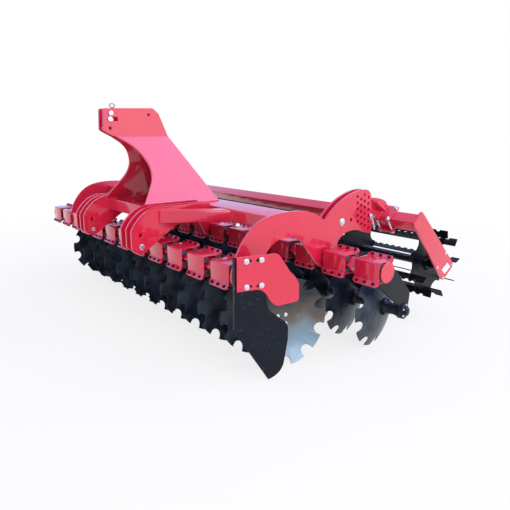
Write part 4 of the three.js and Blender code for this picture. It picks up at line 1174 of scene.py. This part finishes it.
light = {"sky": 0.78, "shine": 1.35, "keyPower": 300, "keySize": 5.5, "fillPower": 45, "backPower": 280,
         "panelSize": 8.0, "panelPower": 760, "warmPower": 120}
world = bpy.data.worlds.new("studio")
bpy.context.scene.world = world
world.use_nodes = True
tree = world.node_tree
tree.nodes.clear()
rays = addNode(tree, "ShaderNodeLightPath")
either = addNode(tree, "ShaderNodeMath",
                 {0: rays.outputs["Is Camera Ray"], 1: rays.outputs["Is Transmission Ray"]},
                 operation="MAXIMUM")
glossy = rays.outputs["Is Glossy Ray"]
shine = addNode(tree, "ShaderNodeMapRange",
                {"Value": glossy, "To Min": light["sky"], "To Max": light["shine"]})
strength = addNode(tree, "ShaderNodeMapRange",
                   {"Value": either.outputs[0], "To Min": shine.outputs[0], "To Max": 1.0})
tone = addNode(tree, "ShaderNodeMix", {0: glossy, 6: linear("#E9EEFF"), 7: linear("#B9CFFF")},
               data_type="RGBA")
tint = addNode(tree, "ShaderNodeMix", {0: either.outputs[0], 6: tone.outputs[2], 7: linear("#FFFFFF")},
               data_type="RGBA")
sky = addNode(tree, "ShaderNodeBackground", {"Color": tint.outputs[2], "Strength": strength.outputs[0]})
addNode(tree, "ShaderNodeOutputWorld", {"Surface": sky.outputs[0]})


# A panel has diffuse off: it lights no surface and is only mirrored in the gloss of the paint
def areaLamp(name, place, target, size, power, hexColour, diffuse=True, glossy=True):
    lamp = bpy.data.lights.new(name, "AREA")
    lamp.size = size
    lamp.energy = power
    lamp.color = linear(hexColour)[:3]
    holder = bpy.data.objects.new(name, lamp)
    holder.location = place
    holder.rotation_euler = (Vector(target) - Vector(place)).to_track_quat("-Z", "Y").to_euler()
    holder.visible_diffuse = diffuse
    holder.visible_glossy = glossy
    bpy.context.scene.collection.objects.link(holder)


areaLamp("keyLamp", (8.5, -1.6, 4.6), (0, 0, 0.5), light["keySize"], light["keyPower"], "#FFF4EC")
areaLamp("fillLamp", (-3, -7, 5), (0, 0, 0.5), 5.0, light["fillPower"], "#EEF2FF")
areaLamp("backLamp", (4.5, 5.5, 6.5), (0, 0, 0.6), 4.5, light["backPower"], "#CFC8FF", glossy=False)
areaLamp("topPanel", (3.6, 4.4, 7.0), (0, -0.4, 1.0), light["panelSize"], light["panelPower"], "#D2CBFF",
         diffuse=False)
areaLamp("warmPanel", (9.0, 4.2, 2.6), (0, -0.7, 1.4), 4.0, light["warmPower"], "#FFD9BE", diffuse=False)

camera = {"place": (3.3068, -2.4495, 1.3769), "yaw": 50.32, "down": 13.83, "roll": 0.27, "lens": 34.34}
lens = bpy.data.cameras.new("camera")
lens.lens = camera["lens"]
lens.sensor_width = 36
lens.clip_end = 200
viewer = bpy.data.objects.new("camera", lens)
aim = shifted(*camera["place"], turnX=90 - camera["down"], turnZ=camera["yaw"])
viewer.matrix_world = aim @ shifted(turnZ=camera["roll"])
bpy.context.scene.collection.objects.link(viewer)
bpy.context.scene.camera = viewer
bpy.context.scene.view_settings.view_transform = "Standard"
print("stage done")
